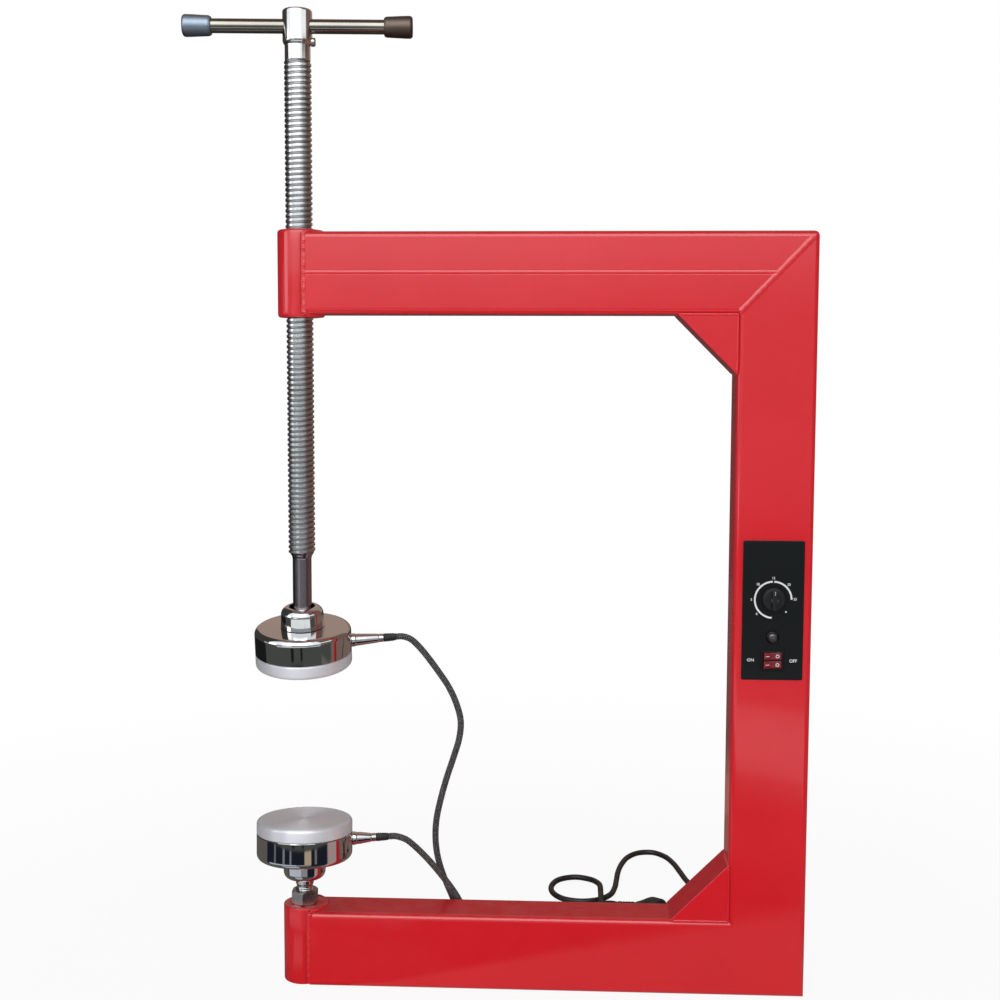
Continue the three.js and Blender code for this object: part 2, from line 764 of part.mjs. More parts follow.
function buildTimer() {
  const backOfPanel = -panelThickness - clearance;
  const body = block(-timerWidth / 2, timerWidth / 2, -timerWidth / 2, timerWidth / 2,
    backOfPanel - timerDepth, backOfPanel);
  const bush = rod(bushRadius, backOfPanel - overrun, bushLength, smallSides);
  const bore = rod(bushBore, -timerDepth - overrun, bushLength + overrun, smallSides);
  add('timer_body', onPanel(cut(join(body, bush), bore), columnX, dialZ), greyPlastic);

  const nut = hexNut(timerNutFlats, clearance, clearance + timerNutHeight, bushRadius + fitGap);
  add('timer_nut', onPanel(nut, columnX, dialZ), steel);

  const shaft = rod(shaftRadius, -shaftDepth, shaftReach, smallSides);
  add('timer_shaft', onPanel(shaft, columnX, dialZ), steel);

  const knobTop = knobStandOff + knobSkirt + knobHeight;
  const skirtTop = knobStandOff + knobSkirt;
  const knobBody = turned([
    [0, knobStandOff], [knobRadius, knobStandOff], [knobRadius, skirtTop],
    [knobTopRadius, knobTop - gripHeight], [0, knobTop - gripHeight],
  ], fineSides);
  const grip = block(-gripWidth / 2, gripWidth / 2, -gripLength / 2, gripLength / 2,
    knobTop - gripHeight - clearance, knobTop);
  const recess = rod(knobRecessRadius, -overrun, skirtTop + timerNutHeight);
  const shaftBore = rod(shaftRadius + fitGap, -overrun, shaftReach + fitGap, smallSides);
  add('timer_knob', onPanel(cut(join(knobBody, grip), recess, shaftBore), columnX, dialZ), blackPlastic);
}

function buildLamp() {
  const body = rod(lampBodyRadius, -panelThickness - lampBodyDepth, 0, smallSides);
  add('lamp_body', onPanel(body, columnX, lampZ), greyPlastic);
  const bezel = ring(lampBezelBore, lampBezelRadius, clearance, clearance + lampBezelHeight, smallSides);
  add('lamp_bezel', onPanel(bezel, columnX, lampZ), chrome);
  const bulge = lampLensHeight - lampBezelHeight;
  const lens = turned([
    [0, clearance], [lampLensRadius, clearance], [lampLensRadius, clearance + lampBezelHeight],
    [lampLensRadius / 2, clearance + lampBezelHeight + bulge / 2 + bulge / 4],
    [0, clearance + lampLensHeight],
  ], smallSides);
  add('lamp_lens', onPanel(lens, columnX, lampZ), smokedLens);
}

// One rocker along X with a shallow V face, drawn about its hinge, tilted to OFF.
function rocker(middleZ) {
  const half = rockerLength / 2;
  const rise = half * Math.tan(rockerTiltDegrees * degrees);
  const outline = polygon([
    [-half, -rise], [0, 0], [half, -rise], [half - rockerTaper, rockerDepth - rise / 2],
    [0, rockerDepth], [rockerTaper - half, rockerDepth - rise / 2],
  ]);
  const body = prism(outline, -rockerHeight / 2, rockerHeight / 2);
  return body.rotateZ(rockerTiltDegrees * degrees)
    .translate(columnX, panelFaceY - switchRimHeight, middleZ);
}

function buildSwitch() {
  const rim = block(-switchWidth / 2, switchWidth / 2, -switchHeight / 2, switchHeight / 2,
    clearance, clearance + switchRimHeight);
  const body = block(-switchBodyWidth / 2, switchBodyWidth / 2, -switchBodyHeight / 2, switchBodyHeight / 2,
    -panelThickness - switchBodyDepth, clearance + switchRimHeight / 2);
  const pocketTop = clearance + switchRimHeight;
  const pockets = [-1, 1].map((side) => block(
    -rockerLength / 2 - pocketGap, rockerLength / 2 + pocketGap,
    (side * rockerPitch - rockerHeight) / 2 - pocketGap, (side * rockerPitch + rockerHeight) / 2 + pocketGap,
    pocketTop - pocketDepth, pocketTop + overrun));
  add('switch_housing', onPanel(cut(join(rim, body), ...pockets), columnX, switchZ), blackPlastic);
  add('rocker_upper', rocker(switchZ + rockerPitch / 2), redPlastic);
  add('rocker_lower', rocker(switchZ - rockerPitch / 2), redPlastic);
}

function buildTerminals() {
  const seat = backY - tubeWall - clearance;
  const body = block(columnX - terminalLength / 2, columnX + terminalLength / 2,
    seat - terminalDepth, seat, terminalRise - terminalHeight / 2, terminalRise + terminalHeight / 2);
  add('terminal_block', body, greyPlastic);
}

// Grommets and cord gland, made along Z with the back of the wall at zero

function buildEntries() {
  const inside = -tubeWall - clearance;
  for (const [name, x] of [['upper_lead_grommet', upperGrommetX], ['lower_lead_grommet', lowerGrommetX]]) {
    const grommet = turned([
      [grommetBore, inside - grommetFlange], [grommetRadius, inside - grommetFlange],
      [grommetRadius, inside], [grommetNeckRadius, inside], [grommetNeckRadius, clearance],
      [grommetRadius, clearance], [grommetRadius - clearance, clearance + grommetFlange],
      [grommetBore, clearance + grommetFlange], [grommetBore, inside - grommetFlange],
    ], smallSides);
    add(name, pointing(grommet, 0, 1, 0).translate(x, backY, grommetRise), rubber);
  }

  const hexRadius = glandFlats / Math.sqrt(3);
  const hexTop = clearance + glandHexHeight;
  const stem = rod(glandThreadRadius, -glandInner, hexTop, smallSides);
  const hex = turned([[0, clearance], [hexRadius, clearance], [hexRadius, hexTop], [0, hexTop]], 6);
  const bore = rod(glandBore, -glandInner - overrun, hexTop + overrun, smallSides);
  const gland = cut(join(stem, hex), bore);
  add('mains_gland', pointing(gland, 0, 1, 0).translate(glandX, backY, glandRise), blackPlastic);

  const tailFoot = hexTop + clearance;
  const tail = turned([
    [glandBore, tailFoot], [glandTailRadius, tailFoot], [glandTailRadius, tailFoot + glandHexHeight],
    [glandTailTipRadius, tailFoot + glandTailLength], [glandBore, tailFoot + glandTailLength],
    [glandBore, tailFoot],
  ], smallSides);
  add('mains_strain_relief', pointing(tail, 0, 1, 0).translate(glandX, backY, glandRise), rubber);
}

// Cords

function cordSection(radius) {
  return polygon(Array.from({ length: cordSides }, (_, i) => {
    const angle = (2 * Math.PI * i) / cordSides;
    return [radius * Math.cos(angle), radius * Math.sin(angle)];
  }));
}

function cordTube(route, radius) {
  const points = route.map((p) => new THREE.Vector3(...p));
  const line = new THREE.CatmullRomCurve3(points, false, 'centripetal');
  const steps = Math.ceil(line.getLength() / cordStep);
  return new THREE.ExtrudeGeometry(cordSection(radius), { steps, extrudePath: line, bevelEnabled: false });
}

// Head leads: from the boot, down behind the lower arm, along the bench and up to the grommet.
const upperLeadRoute = [
  [-147.1, 27.18, 342.46], [-141.5, 28.66, 342.7], [-133.2, 30.4, 339.9], [-124.6, 31.4, 332],
  [-114.8, 32, 320], [-105, 32.4, 306.5], [-95, 32.7, 291.5], [-87, 33.1, 274], [-82.5, 33.2, 256],
  [-84, 33.5, 238], [-90, 34, 217.5], [-97, 34.6, 196], [-103.5, 35.2, 172], [-107.5, 36, 152],
  [-108.5, 36.8, 134], [-107, 37.6, 117], [-103.5, 38.4, 102], [-99, 39, 89], [-93, 40, 74],
  [-86, 41, 57], [-78, 42, 39], [-68, 43, 21], [-55, 44, 8], [-38, 44.5, 3.6], [-18, 44, 3.5],
  [10, 43.4, 3.5], [40, 43.4, 3.5], [68, 45, 3.5], [90, 51, 4.6], [106, 56, 10], [117, 56.5, 20],
  [123, 51.5, 30], [124, 41, 36.2], [124, 34, 37], [124, 27.9, 37],
];
const lowerLeadRoute = [
  [-154.83, 22.87, 138.27], [-148.5, 24.56, 138.19], [-137.8, 26.9, 134.2], [-130, 28.2, 127.8],
  [-123.5, 28.8, 121.5], [-117, 29.3, 114.7], [-110.5, 29.7, 107.3], [-103.5, 30, 98.8],
  [-95.5, 30.2, 88.5], [-87.5, 30.4, 77], [-80, 30.8, 63], [-73, 31.8, 46], [-66, 33.2, 28],
  [-56, 34.8, 12], [-42, 35.8, 4.4], [-22, 35.4, 3.5], [8, 35, 3.5], [34, 35, 3.5], [54, 35.8, 3.7],
  [68, 38.4, 7], [79, 42.4, 15], [88, 45, 25], [95, 43.5, 33], [98, 37, 36.7], [98, 27.9, 37],
];

// The mains cord's points have their first number measured from the gland.
function fromGland([x, y, z]) {
  return [glandX + x, y, z];
}

// Out of the gland, down to the bench, a long loop, a small loop and into the coil.
const mainsRunRoute = [
  [0, 65.8, 100], [0, 76, 99.2], [-0.5, 90, 93], [-2, 106, 79], [-4, 122, 58], [-7, 138, 35],
  [-11, 155, 15], [-17, 173, 5], [-25, 196, 3.5], [-35, 232, 3.5], [-45, 262, 3.5], [-52, 290, 3.5],
  [-57, 318, 3.5], [-63, 348, 3.5], [-72, 372, 3.5], [-86, 386, 3.5], [-103, 384, 3.5],
  [-117, 368, 3.5], [-126, 343, 3.5], [-132, 312, 3.5], [-135, 282, 3.5], [-138, 256, 3.5],
  [-144, 234, 3.5], [-158, 218, 3.5], [-178, 212, 3.5], [-198, 219, 3.5], [-210, 237, 3.5],
  [-212, 260, 3.5], [-203, 282, 3.5], [-184, 291, 3.6], [-166, 283, 4], [-157, 264, 6.4],
  [-155, 244, 9.4], [-155, 228, 10.9], [-155, 214, 10.8], [-155.2, 200, 7.8], [-155.4, 186, 4.3],
  [-155.5, 174, 3.5], [-155.5, 160, 3.5], [-155.5, 138.8, 3.5],
].map(fromGland);
const mainsTailRoute = [
  [-193.2, 176.5, 10.6], [-184, 177, 10.6], [-171, 177.6, 11.4], [-159, 176.2, 13.6],
  [-149.5, 171.9, 16.8], [-142.5, 167.1, 18.5], [-137.7, 163.75, 18.65],
].map(fromGland);

// The coil: one layer winds in, climbs while it reverses, and a second layer winds out on top.
function coilLine() {
  const turns = 2 * coilInwardTurns + coilClimbTurns;
  const innerRadius = coilOuterRadius - coilPitch * coilInwardTurns;
  const lowZ = mainsRadius + floorLift + clearance / 2;
  const points = [];
  const count = Math.round(turns * coilSteps);
  for (let i = 0; i <= count; i += 1) {
    const t = (turns * i) / count;
    const climb = THREE.MathUtils.clamp((t - coilInwardTurns) / coilClimbTurns, 0, 1);
    let radius = innerRadius - coilTuck * Math.sin(Math.PI * climb);
    if (t < coilInwardTurns) radius = coilOuterRadius - coilPitch * t;
    if (climb === 1) radius = innerRadius + coilPitch * (t - coilInwardTurns - coilClimbTurns);
    const angle = -2 * Math.PI * t;
    points.push(new THREE.Vector3(
      coilX + radius * Math.cos(angle), coilY + radius * Math.sin(angle), lowZ + coilPitch * climb));
  }
  const straight = 2 * mainsRadius;
  points.unshift(points[0].clone().add(new THREE.Vector3(0, straight, 0)));
  points.push(points[points.length - 1].clone().add(new THREE.Vector3(straight, 0, 0)));
  return points;
}

// A tube whose rings stand square on a line of points, closed at both ends.
function tubeOnPoints(points, radius, sides) {
  const positions = [];
  const faces = [];
  points.forEach((point, i) => {
    const before = points[Math.max(i - 1, 0)];
    const after = points[Math.min(i + 1, points.length - 1)];
    const along = after.clone().sub(before).normalize();
    const across = along.clone().cross(up).normalize();
    const over = across.clone().cross(along);
    for (let k = 0; k < sides; k += 1) {
      const angle = (2 * Math.PI * k) / sides;
      const place = point.clone()
        .addScaledVector(across, radius * Math.cos(angle))
        .addScaledVector(over, radius * Math.sin(angle));
      positions.push(place.x, place.y, place.z);
    }
  });
  for (let i = 0; i < points.length - 1; i += 1) {
    for (let k = 0; k < sides; k += 1) {
      const next = (k + 1) % sides;
      const [a, b, c, d] = [i * sides + k, i * sides + next, (i + 1) * sides + next, (i + 1) * sides + k];
      faces.push(a, b, c, a, c, d);
    }
  }
  const end = (points.length - 1) * sides;
  for (let k = 1; k < sides - 1; k += 1) {
    faces.push(0, k + 1, k, end, end + k, end + k + 1);
  }
  const geometry = new THREE.BufferGeometry();
  geometry.setAttribute('position', new THREE.Float32BufferAttribute(positions, 3));
  geometry.setIndex(faces);
  return geometry;
}

// The least distance between two stretches of a line that are over a half turn apart, less the tube.
function leastGap(points, diameter) {
  let least = Infinity;
  for (let i = 0; i < points.length; i += 1) {
    for (let j = i + coilSteps / 2; j < points.length; j += 1) {
      least = Math.min(least, points[i].distanceTo(points[j]) - diameter);
    }
  }
  return least;
}

function buildCords() {
  add('upper_lead', cordTube(upperLeadRoute, leadRadius), braid);
  add('lower_lead', cordTube(lowerLeadRoute, leadRadius), braid);
  add('mains_cord_run', cordTube(mainsRunRoute, mainsRadius), mainsVinyl);
  const line = coilLine();
  add('mains_cord_coil', tubeOnPoints(line, mainsRadius, coilSides), mainsVinyl);
  add('mains_cord_tail', cordTube(mainsTailRoute, mainsRadius), mainsVinyl);
  console.log(`coil: least gap to itself ${leastGap(line, 2 * mainsRadius).toFixed(2)} mm`);
}

function buildPlug() {
  const plug = new THREE.Group();
  plug.position.set(plugX, plugY, plugRadius + floorLift);
  plug.rotation.z = plugTurnDegrees * degrees;
  machine.add(plug);
  const body = turned([
    [0, 0], [plugTailRadius, 0], [plugShoulderRadius, plugLength - plugShoulderAt],
    [plugRadius, plugLength - plugBaseLength], [plugRadius, plugLength - plugEdge],
    [plugRadius - plugEdge, plugLength], [0, plugLength],
  ]);
  const pins = [-1, 1].map((side) => (side * pinSpacing) / 2);
  const seats = pins.map((y) =>
    rod(pinRadius + fitGap, plugLength - pinSeat, plugLength + overrun, smallSides).translate(0, y, 0));
  add('plug_body', pointing(cut(body, ...seats), 1, 0, 0), blackPlastic, plug);
  pins.forEach((y, i) => {
    const pin = rod(pinRadius, plugLength - pinSeat + fitGap, plugLength + pinLength, smallSides);
    add(['plug_pin_left', 'plug_pin_right'][i], pointing(pin.translate(0, y, 0), 1, 0, 0), brass, plug);
  });
}

buildFrame();
buildGussets();
buildScrew();
buildHandle();
buildHeads();
buildStud();
buildPanel();
buildTimer();
buildLamp();
buildSwitch();
buildTerminals();
buildEntries();
buildCords();
buildPlug();

export default machine;
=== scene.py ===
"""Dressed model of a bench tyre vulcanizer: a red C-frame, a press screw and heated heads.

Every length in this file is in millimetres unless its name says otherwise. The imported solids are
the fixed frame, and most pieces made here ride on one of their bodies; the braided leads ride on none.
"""

from __future__ import annotations

import logging
import math
from dataclasses import dataclass, field
from enum import Enum
from typing import Callable, ClassVar, Iterable, Sequence

import bmesh
import bpy
from mathutils import Matrix, Vector


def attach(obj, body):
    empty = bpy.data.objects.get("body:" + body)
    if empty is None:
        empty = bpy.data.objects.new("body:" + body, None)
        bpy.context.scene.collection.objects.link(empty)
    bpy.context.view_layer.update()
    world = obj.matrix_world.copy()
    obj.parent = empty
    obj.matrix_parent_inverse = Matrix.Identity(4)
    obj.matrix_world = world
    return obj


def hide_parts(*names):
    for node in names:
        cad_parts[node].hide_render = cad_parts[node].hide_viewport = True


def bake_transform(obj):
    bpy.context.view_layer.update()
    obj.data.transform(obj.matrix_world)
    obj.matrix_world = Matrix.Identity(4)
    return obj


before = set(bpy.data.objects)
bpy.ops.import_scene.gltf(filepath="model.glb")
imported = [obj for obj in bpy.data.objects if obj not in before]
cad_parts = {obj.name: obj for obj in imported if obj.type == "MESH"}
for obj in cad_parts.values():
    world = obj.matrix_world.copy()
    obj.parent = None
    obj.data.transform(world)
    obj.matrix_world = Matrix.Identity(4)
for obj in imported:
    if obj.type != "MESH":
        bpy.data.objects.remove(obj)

log = logging.getLogger("vulcanizer")

MM = 0.001
WHITE = (1.0, 1.0, 1.0, 1.0)
Colour = tuple[float, float, float]
Point = tuple[float, float, float]
Profile = Sequence[tuple[float, ...]]
Piece = bpy.types.Object
Node = bpy.types.Node
Socket = bpy.types.NodeSocket


class Body(str, Enum):
    """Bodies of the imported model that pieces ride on."""

    FRAME = "frame"
    CARRIER = "press_carrier"
    SPINDLE = "spindle"
    BAR = "handle_bar"
    UPPER_HEAD = "upper_head"
    LOWER_HEAD = "lower_head"
    KNOB = "timer_knob"
    ROCKER_TOP = "rocker_top"
    ROCKER_BOTTOM = "rocker_bottom"


class Keep(Enum):
    """Which side of a cutting plane stays."""

    FRONT = "front"
    BEHIND = "behind"


def moved(x: float = 0.0, y: float = 0.0, z: float = 0.0) -> Matrix:
    """Gives a move as a matrix."""
    return Matrix.Translation((x, y, z))


def in_metres(point: Sequence[float]) -> Point:
    """Gives a point in metres."""
    return tuple(Vector(point) * MM)


def arc(centre: tuple[float, float], radius: float, start: float, end: float, steps: int) -> list:
    """Gives the points of an arc."""
    angles = [math.radians(start + (end - start) * index / steps) for index in range(steps + 1)]
    return [(centre[0] + radius * math.cos(a), centre[1] + radius * math.sin(a)) for a in angles]


ALONG_X = Matrix.Rotation(math.pi / 2, 4, "Y")
TO_BACK = Matrix.Rotation(-math.pi / 2, 4, "X")
TO_FRONT = Matrix.Rotation(math.pi / 2, 4, "X")


class Workbench:
    """Models pieces with Blender's own tools and leaves each one placed in its mesh."""

    merge_m: ClassVar[float] = 2e-6
    smooth_angle: ClassVar[float] = math.radians(33)
    bevel_angle: ClassVar[float] = math.radians(30)
    broad: ClassVar[float] = 1.5
    inset: ClassVar[float] = 0.3
    letter_scale: ClassVar[float] = 1.4
    letter_rise: ClassVar[float] = 0.04
    letter_weight: ClassVar[float] = 0.06

    @staticmethod
    def clear() -> None:
        """Leaves edit mode and deselects everything."""
        if bpy.context.mode != "OBJECT":
            bpy.ops.object.mode_set(mode="OBJECT")
        bpy.ops.object.select_all(action="DESELECT")

    @classmethod
    def take(cls, *pieces: Piece) -> None:
        """Selects only these pieces, the first of them active.

        Args:
            pieces: The pieces.
        """
        cls.clear()
        for piece in pieces:
            piece.select_set(True)
        bpy.context.view_layer.objects.active = pieces[0]

    @staticmethod
    def named(name: str) -> Piece:
        """Names the active piece and its mesh.

        Args:
            name: The name.

        Returns:
            The piece.
        """
        piece = bpy.context.active_object
        piece.name = piece.data.name = name
        return piece

    @staticmethod
    def edit(kind: str, action: str) -> None:
        """Opens the active piece to be edited.

        Args:
            kind: What is selected: VERT, EDGE or FACE.
            action: What happens to the selection first.
        """
        bpy.ops.object.mode_set(mode="EDIT")
        bpy.ops.mesh.select_mode(type=kind)
        bpy.ops.mesh.select_all(action=action)

    @classmethod
    def start_point(cls, name: str, at: Point) -> Piece:
        """Begins a piece as one vertex, in edit mode and selected.

        Args:
            name: The piece's name.
            at: Where the vertex stands.

        Returns:
            The new piece.
        """
        cls.clear()
        bpy.ops.mesh.primitive_plane_add(size=MM, location=(0, 0, 0))
        piece = cls.named(name)
        cls.edit("VERT", "SELECT")
        bpy.ops.mesh.merge(type="CENTER")
        bpy.ops.transform.translate(value=Vector(at) * MM)
        return piece

    @staticmethod
    def extrude_along(points: Sequence[Point]) -> None:
        """Extrudes the selected vertex from point to point.

        Args:
            points: The line, whose first point is where the vertex stands.
        """
        for here, there in zip(points, points[1:]):
            step = (Vector(there) - Vector(here)) * MM
            bpy.ops.mesh.extrude_region_move(TRANSFORM_OT_translate={"value": step})

    @classmethod
    def shade(cls) -> None:
        """Shades faces that meet at a small angle as one surface."""
        bpy.ops.object.shade_smooth_by_angle(angle=cls.smooth_angle)

    @classmethod
    def tidy(cls, smooth: bool = True) -> None:
        """Merges doubles, turns faces outwards and closes the piece being edited.

        Args:
            smooth: Whether it is shaded smooth.
        """
        bpy.ops.mesh.select_all(action="SELECT")
        bpy.ops.mesh.remove_doubles(threshold=cls.merge_m)
        bpy.ops.mesh.normals_make_consistent(inside=False)
        bpy.ops.object.mode_set(mode="OBJECT")
        if smooth:
            cls.shade()

    @classmethod
    def put(cls, piece: Piece, place: Matrix) -> Piece:
        """Moves a piece and applies the move to its mesh.

        Args:
            piece: The piece, modelled at the origin.
            place: The move.

        Returns:
            The same piece.
        """
        scaled = place.copy()
        scaled.translation = place.translation * MM
        cls.take(piece)
        piece.matrix_world = scaled
        bpy.ops.object.transform_apply(location=True, rotation=True, scale=True)
        return piece

    @staticmethod
    def softened(profile: Profile, steps: int = 4) -> list[tuple[float, float]]:
        """Rounds the corners of a profile that carry a third number, their rounding.

        Args:
            profile: Points as (radius, height) or (radius, height, rounding).
            steps: Straight pieces in each rounding.

        Returns:
            Points as (radius, height).
        """
        longest_share = 0.49
        rounded: list[tuple[float, float]] = []
        for index, corner in enumerate(profile):
            here = Vector(corner[:2])
            if len(corner) < 3 or index in (0, len(profile) - 1):
                rounded.append((here.x, here.y))
                continue
            before = Vector(profile[index - 1][:2]) - here
            after = Vector(profile[index + 1][:2]) - here
            reach = min(corner[2], longest_share * before.length, longest_share * after.length)
            first = here + before.normalized() * reach
            last = here + after.normalized() * reach
            for step in range(steps + 1):
                share = step / steps
                spot = first * (1 - share) ** 2 + here * (2 * share * (1 - share)) + last * share**2
                rounded.append((spot.x, spot.y))
        return rounded

    @classmethod
    def turned(cls, name: str, profile: Profile, steps: int = 64, place: Matrix | None = None) -> Piece:
        """Turns a profile about the Z axis by spinning it.

        Args:
            name: The piece's name.
            profile: Points as (radius, height) with an optional rounding.
            steps: Steps round the axis.
            place: Where the turned piece goes.

        Returns:
            The new piece.
        """
        line = [(radius, 0.0, height) for radius, height in cls.softened(profile)]
        piece = cls.start_point(name, line[0])
        cls.extrude_along(line)
        bpy.ops.mesh.select_all(action="SELECT")
        bpy.ops.mesh.spin(steps=steps, angle=math.tau, center=(0, 0, 0), axis=(0, 0, 1))
        cls.tidy()
        return cls.put(piece, place) if place else piece

    @classmethod
    def modified(cls, piece: Piece, kind: str, **settings: object) -> Piece:
        """Applies a modifier.

        Args:
            piece: The piece.
            kind: The modifier's type.
            settings: Its settings.

        Returns:
            The same piece.
        """
        cls.take(piece)
        bpy.ops.object.modifier_add(type=kind)
        modifier = piece.modifiers[-1]
        for name, value in settings.items():
            setattr(modifier, name, value)
        bpy.ops.object.modifier_apply(modifier=modifier.name)
        return piece

    @classmethod
    def bevelled(cls, piece: Piece, width: float, segments: int = 3) -> Piece:
        """Rounds a piece's sharp edges."""
        cls.modified(piece, "BEVEL", width=width * MM, segments=segments, limit_method="ANGLE",
                     angle_limit=cls.bevel_angle, harden_normals=False)
        return cls.braced(piece)

    @classmethod
    def braced(cls, piece: Piece) -> Piece:
        """Insets a piece's broad faces a little, so that they shade flat up to their rounded edges.

        Args:
            piece: The piece.

        Returns:
            The same piece.
        """
        cls.take(piece)
        cls.edit("FACE", "DESELECT")
        mesh = bmesh.from_edit_mesh(piece.data)
        for face in mesh.faces:
            face.select = face.calc_area() / face.calc_perimeter() > cls.broad * MM
        bmesh.update_edit_mesh(piece.data)
        if any(face.select for face in mesh.faces):
            bpy.ops.mesh.inset(thickness=cls.inset * MM, use_individual=True)
        bpy.ops.object.mode_set(mode="OBJECT")
        cls.shade()
        return piece

    @classmethod
    def block(cls, name: str, low: Point, high: Point, edge: float = 0.0, segments: int = 3) -> Piece:
        """Makes a block from a cube primitive.

        Args:
            name: The piece's name.
            low: Its lowest corner.
            high: Its highest corner.
            edge: Rounding of all its edges, or none.
            segments: Segments across the rounding.

        Returns:
            The new piece.
        """
        cls.clear()
        bpy.ops.mesh.primitive_cube_add(size=1, location=(Vector(low) + Vector(high)) / 2 * MM)
        piece = cls.named(name)
        piece.scale = (Vector(high) - Vector(low)) * MM
        bpy.ops.object.transform_apply(location=True, rotation=True, scale=True)
        return cls.bevelled(piece, edge, segments) if edge else piece

    @classmethod
    def hexagon(cls, name: str, flats: float, foot: float, height: float) -> Piece:
        """Makes an upright hexagonal block from a cylinder primitive.

        Args:
            name: The piece's name.
            flats: Its size across flats.
            foot: Z of its underside.
            height: Its height.

        Returns:
            The new piece.
        """
        cls.clear()
        bpy.ops.mesh.primitive_cylinder_add(vertices=6, radius=flats / math.sqrt(3) * MM, depth=height * MM,
                                            location=(0, 0, (foot + height / 2) * MM))
        bpy.ops.object.transform_apply(location=True, rotation=True, scale=True)
        return cls.named(name)

    @classmethod
    def bevel_edges(cls, piece: Piece, chosen: Callable[[Vector, Vector], bool], width: float) -> None:
        """Bevels some edges of a piece, if it has any such.

        Args:
            piece: The piece.
            chosen: Says from an edge's two ends, in metres, whether it is bevelled.
            width: Radius of the rounding.
        """
        cls.take(piece)
        cls.edit("EDGE", "DESELECT")
        mesh = bmesh.from_edit_mesh(piece.data)
        for edge in mesh.edges:
            edge.select = chosen(*(vertex.co for vertex in edge.verts))
        bmesh.update_edit_mesh(piece.data)
        if any(edge.select for edge in bmesh.from_edit_mesh(piece.data).edges):
            bpy.ops.mesh.bevel(offset=width * MM, offset_type="OFFSET", segments=5, profile=0.5)
        bpy.ops.object.mode_set(mode="OBJECT")

    @classmethod
    def round_long_edges(cls, piece: Piece, along: Vector, width: float) -> None:
        """Bevels only the edges that run one way."""
        cls.bevel_edges(piece, lambda a, b: abs((b - a).normalized().dot(along)) > 0.99, width)
        cls.shade()

    @classmethod
    def outline(cls, name: str, points: Sequence[tuple[float, float]], front: float, back: float,
                edge: float = 0.0, segments: int = 3) -> Piece:
        """Extrudes a closed outline, drawn as seen from the front, along Y.

        Args:
            name: The piece's name.
            points: The outline as (x, z).
            front: The Y of its front face.
            back: The Y of its back face.
            edge: Rounding of its edges, or none.
            segments: Segments across the rounding.

        Returns:
            The new piece.
        """
        line = [(x, front, z) for x, z in points]
        piece = cls.start_point(name, line[0])
        cls.extrude_along(line)
        bpy.ops.mesh.select_all(action="SELECT")
        bpy.ops.mesh.edge_face_add()
        bpy.ops.mesh.extrude_region_move(TRANSFORM_OT_translate={"value": (0, (back - front) * MM, 0)})
        cls.tidy(smooth=False)
        return cls.bevelled(piece, edge, segments) if edge else piece

    @classmethod
    def sliced(cls, piece: Piece, at: Point, normal: Vector, keep: Keep) -> Piece:
        """Cuts a piece by a plane and closes the cut.

        Args:
            piece: The piece.
            at: A point of the plane.
            normal: The plane's normal.
            keep: Which side stays.

        Returns:
            The same piece.
        """
        cls.take(piece)
        cls.edit("FACE", "SELECT")
        bpy.ops.mesh.bisect(plane_co=Vector(at) * MM, plane_no=normal, use_fill=True,
                            clear_inner=keep is Keep.FRONT, clear_outer=keep is Keep.BEHIND)
        cls.tidy()
        return piece

    @classmethod
    def combined(cls, piece: Piece, tool: Piece, operation: str) -> Piece:
        """Applies a Boolean modifier and removes the tool.

        Args:
            piece: The piece that stays.
            tool: The other piece.
            operation: DIFFERENCE, UNION or INTERSECT.

        Returns:
            The same piece.
        """
        cls.modified(piece, "BOOLEAN", operation=operation, object=tool, solver="EXACT")
        bpy.data.objects.remove(tool)
        cls.shade()
        return piece

    @classmethod
    def joined(cls, name: str, *pieces: Piece) -> Piece:
        """Joins pieces into one and names it."""
        cls.take(*pieces)
        bpy.ops.object.join()
        return cls.named(name)

    @classmethod
    def swept(cls, name: str, points: Sequence[Point], radii: Sequence[float], sides: int = 6) -> Piece:
        """Sweeps a round section along straight steps and makes it a mesh.

        Args:
            name: The piece's name.
            points: The line that its middle follows.
            radii: The section's radius at each point.
            sides: Curve resolution of the section.

        Returns:
            The new piece, with a UV map that follows it.
        """
        curve = bpy.data.curves.new(name, "CURVE")
        curve.dimensions = "3D"
        curve.bevel_depth = MM
        curve.bevel_resolution = sides
        curve.use_fill_caps = True
        spline = curve.splines.new("POLY")
        spline.points.add(len(points) - 1)
        for knot, point, radius in zip(spline.points, points, radii):
            knot.co = (*(Vector(point) * MM), 1.0)
            knot.radius = radius
        piece = bpy.data.objects.new(name, curve)
        bpy.context.scene.collection.objects.link(piece)
        cls.take(piece)
        bpy.ops.object.convert(target="MESH")
        bpy.ops.object.shade_smooth()
        return bpy.context.active_object

    @classmethod
    def bead(cls, name: str, points: Sequence[Point], radius: float, heave: float) -> Piece:
        """Lays a weld bead with its ripples along a line.

        Args:
            name: The piece's name.
            points: The line.
            radius: The bead's radius.
            heave: Height of a ripple as a share of the radius.

        Returns:
            The new piece.
        """
        ripple = 2.6
        end_share = 0.7
        places: list[Point] = []
        sizes: list[float] = []
        walked = 0.0
        for here, there in zip(points, points[1:]):
            a, b = Vector(here), Vector(there)
            count = max(1, round((b - a).length / (ripple / 5)))
            for index in range(count):
                wave = math.sin(math.tau * walked / ripple)
                drift = math.sin(walked * 0.31) * 0.7 + math.sin(walked * 0.83 + 1.3) * 0.55
                places.append(tuple(a.lerp(b, index / count)))
                sizes.append(radius * (1 + heave * (0.45 * wave + drift)))
                walked += (b - a).length / count
        places.append(tuple(points[-1]))
        sizes = [radius * end_share, *sizes[1:], radius * end_share]
        return cls.swept(name, places, sizes, sides=3)

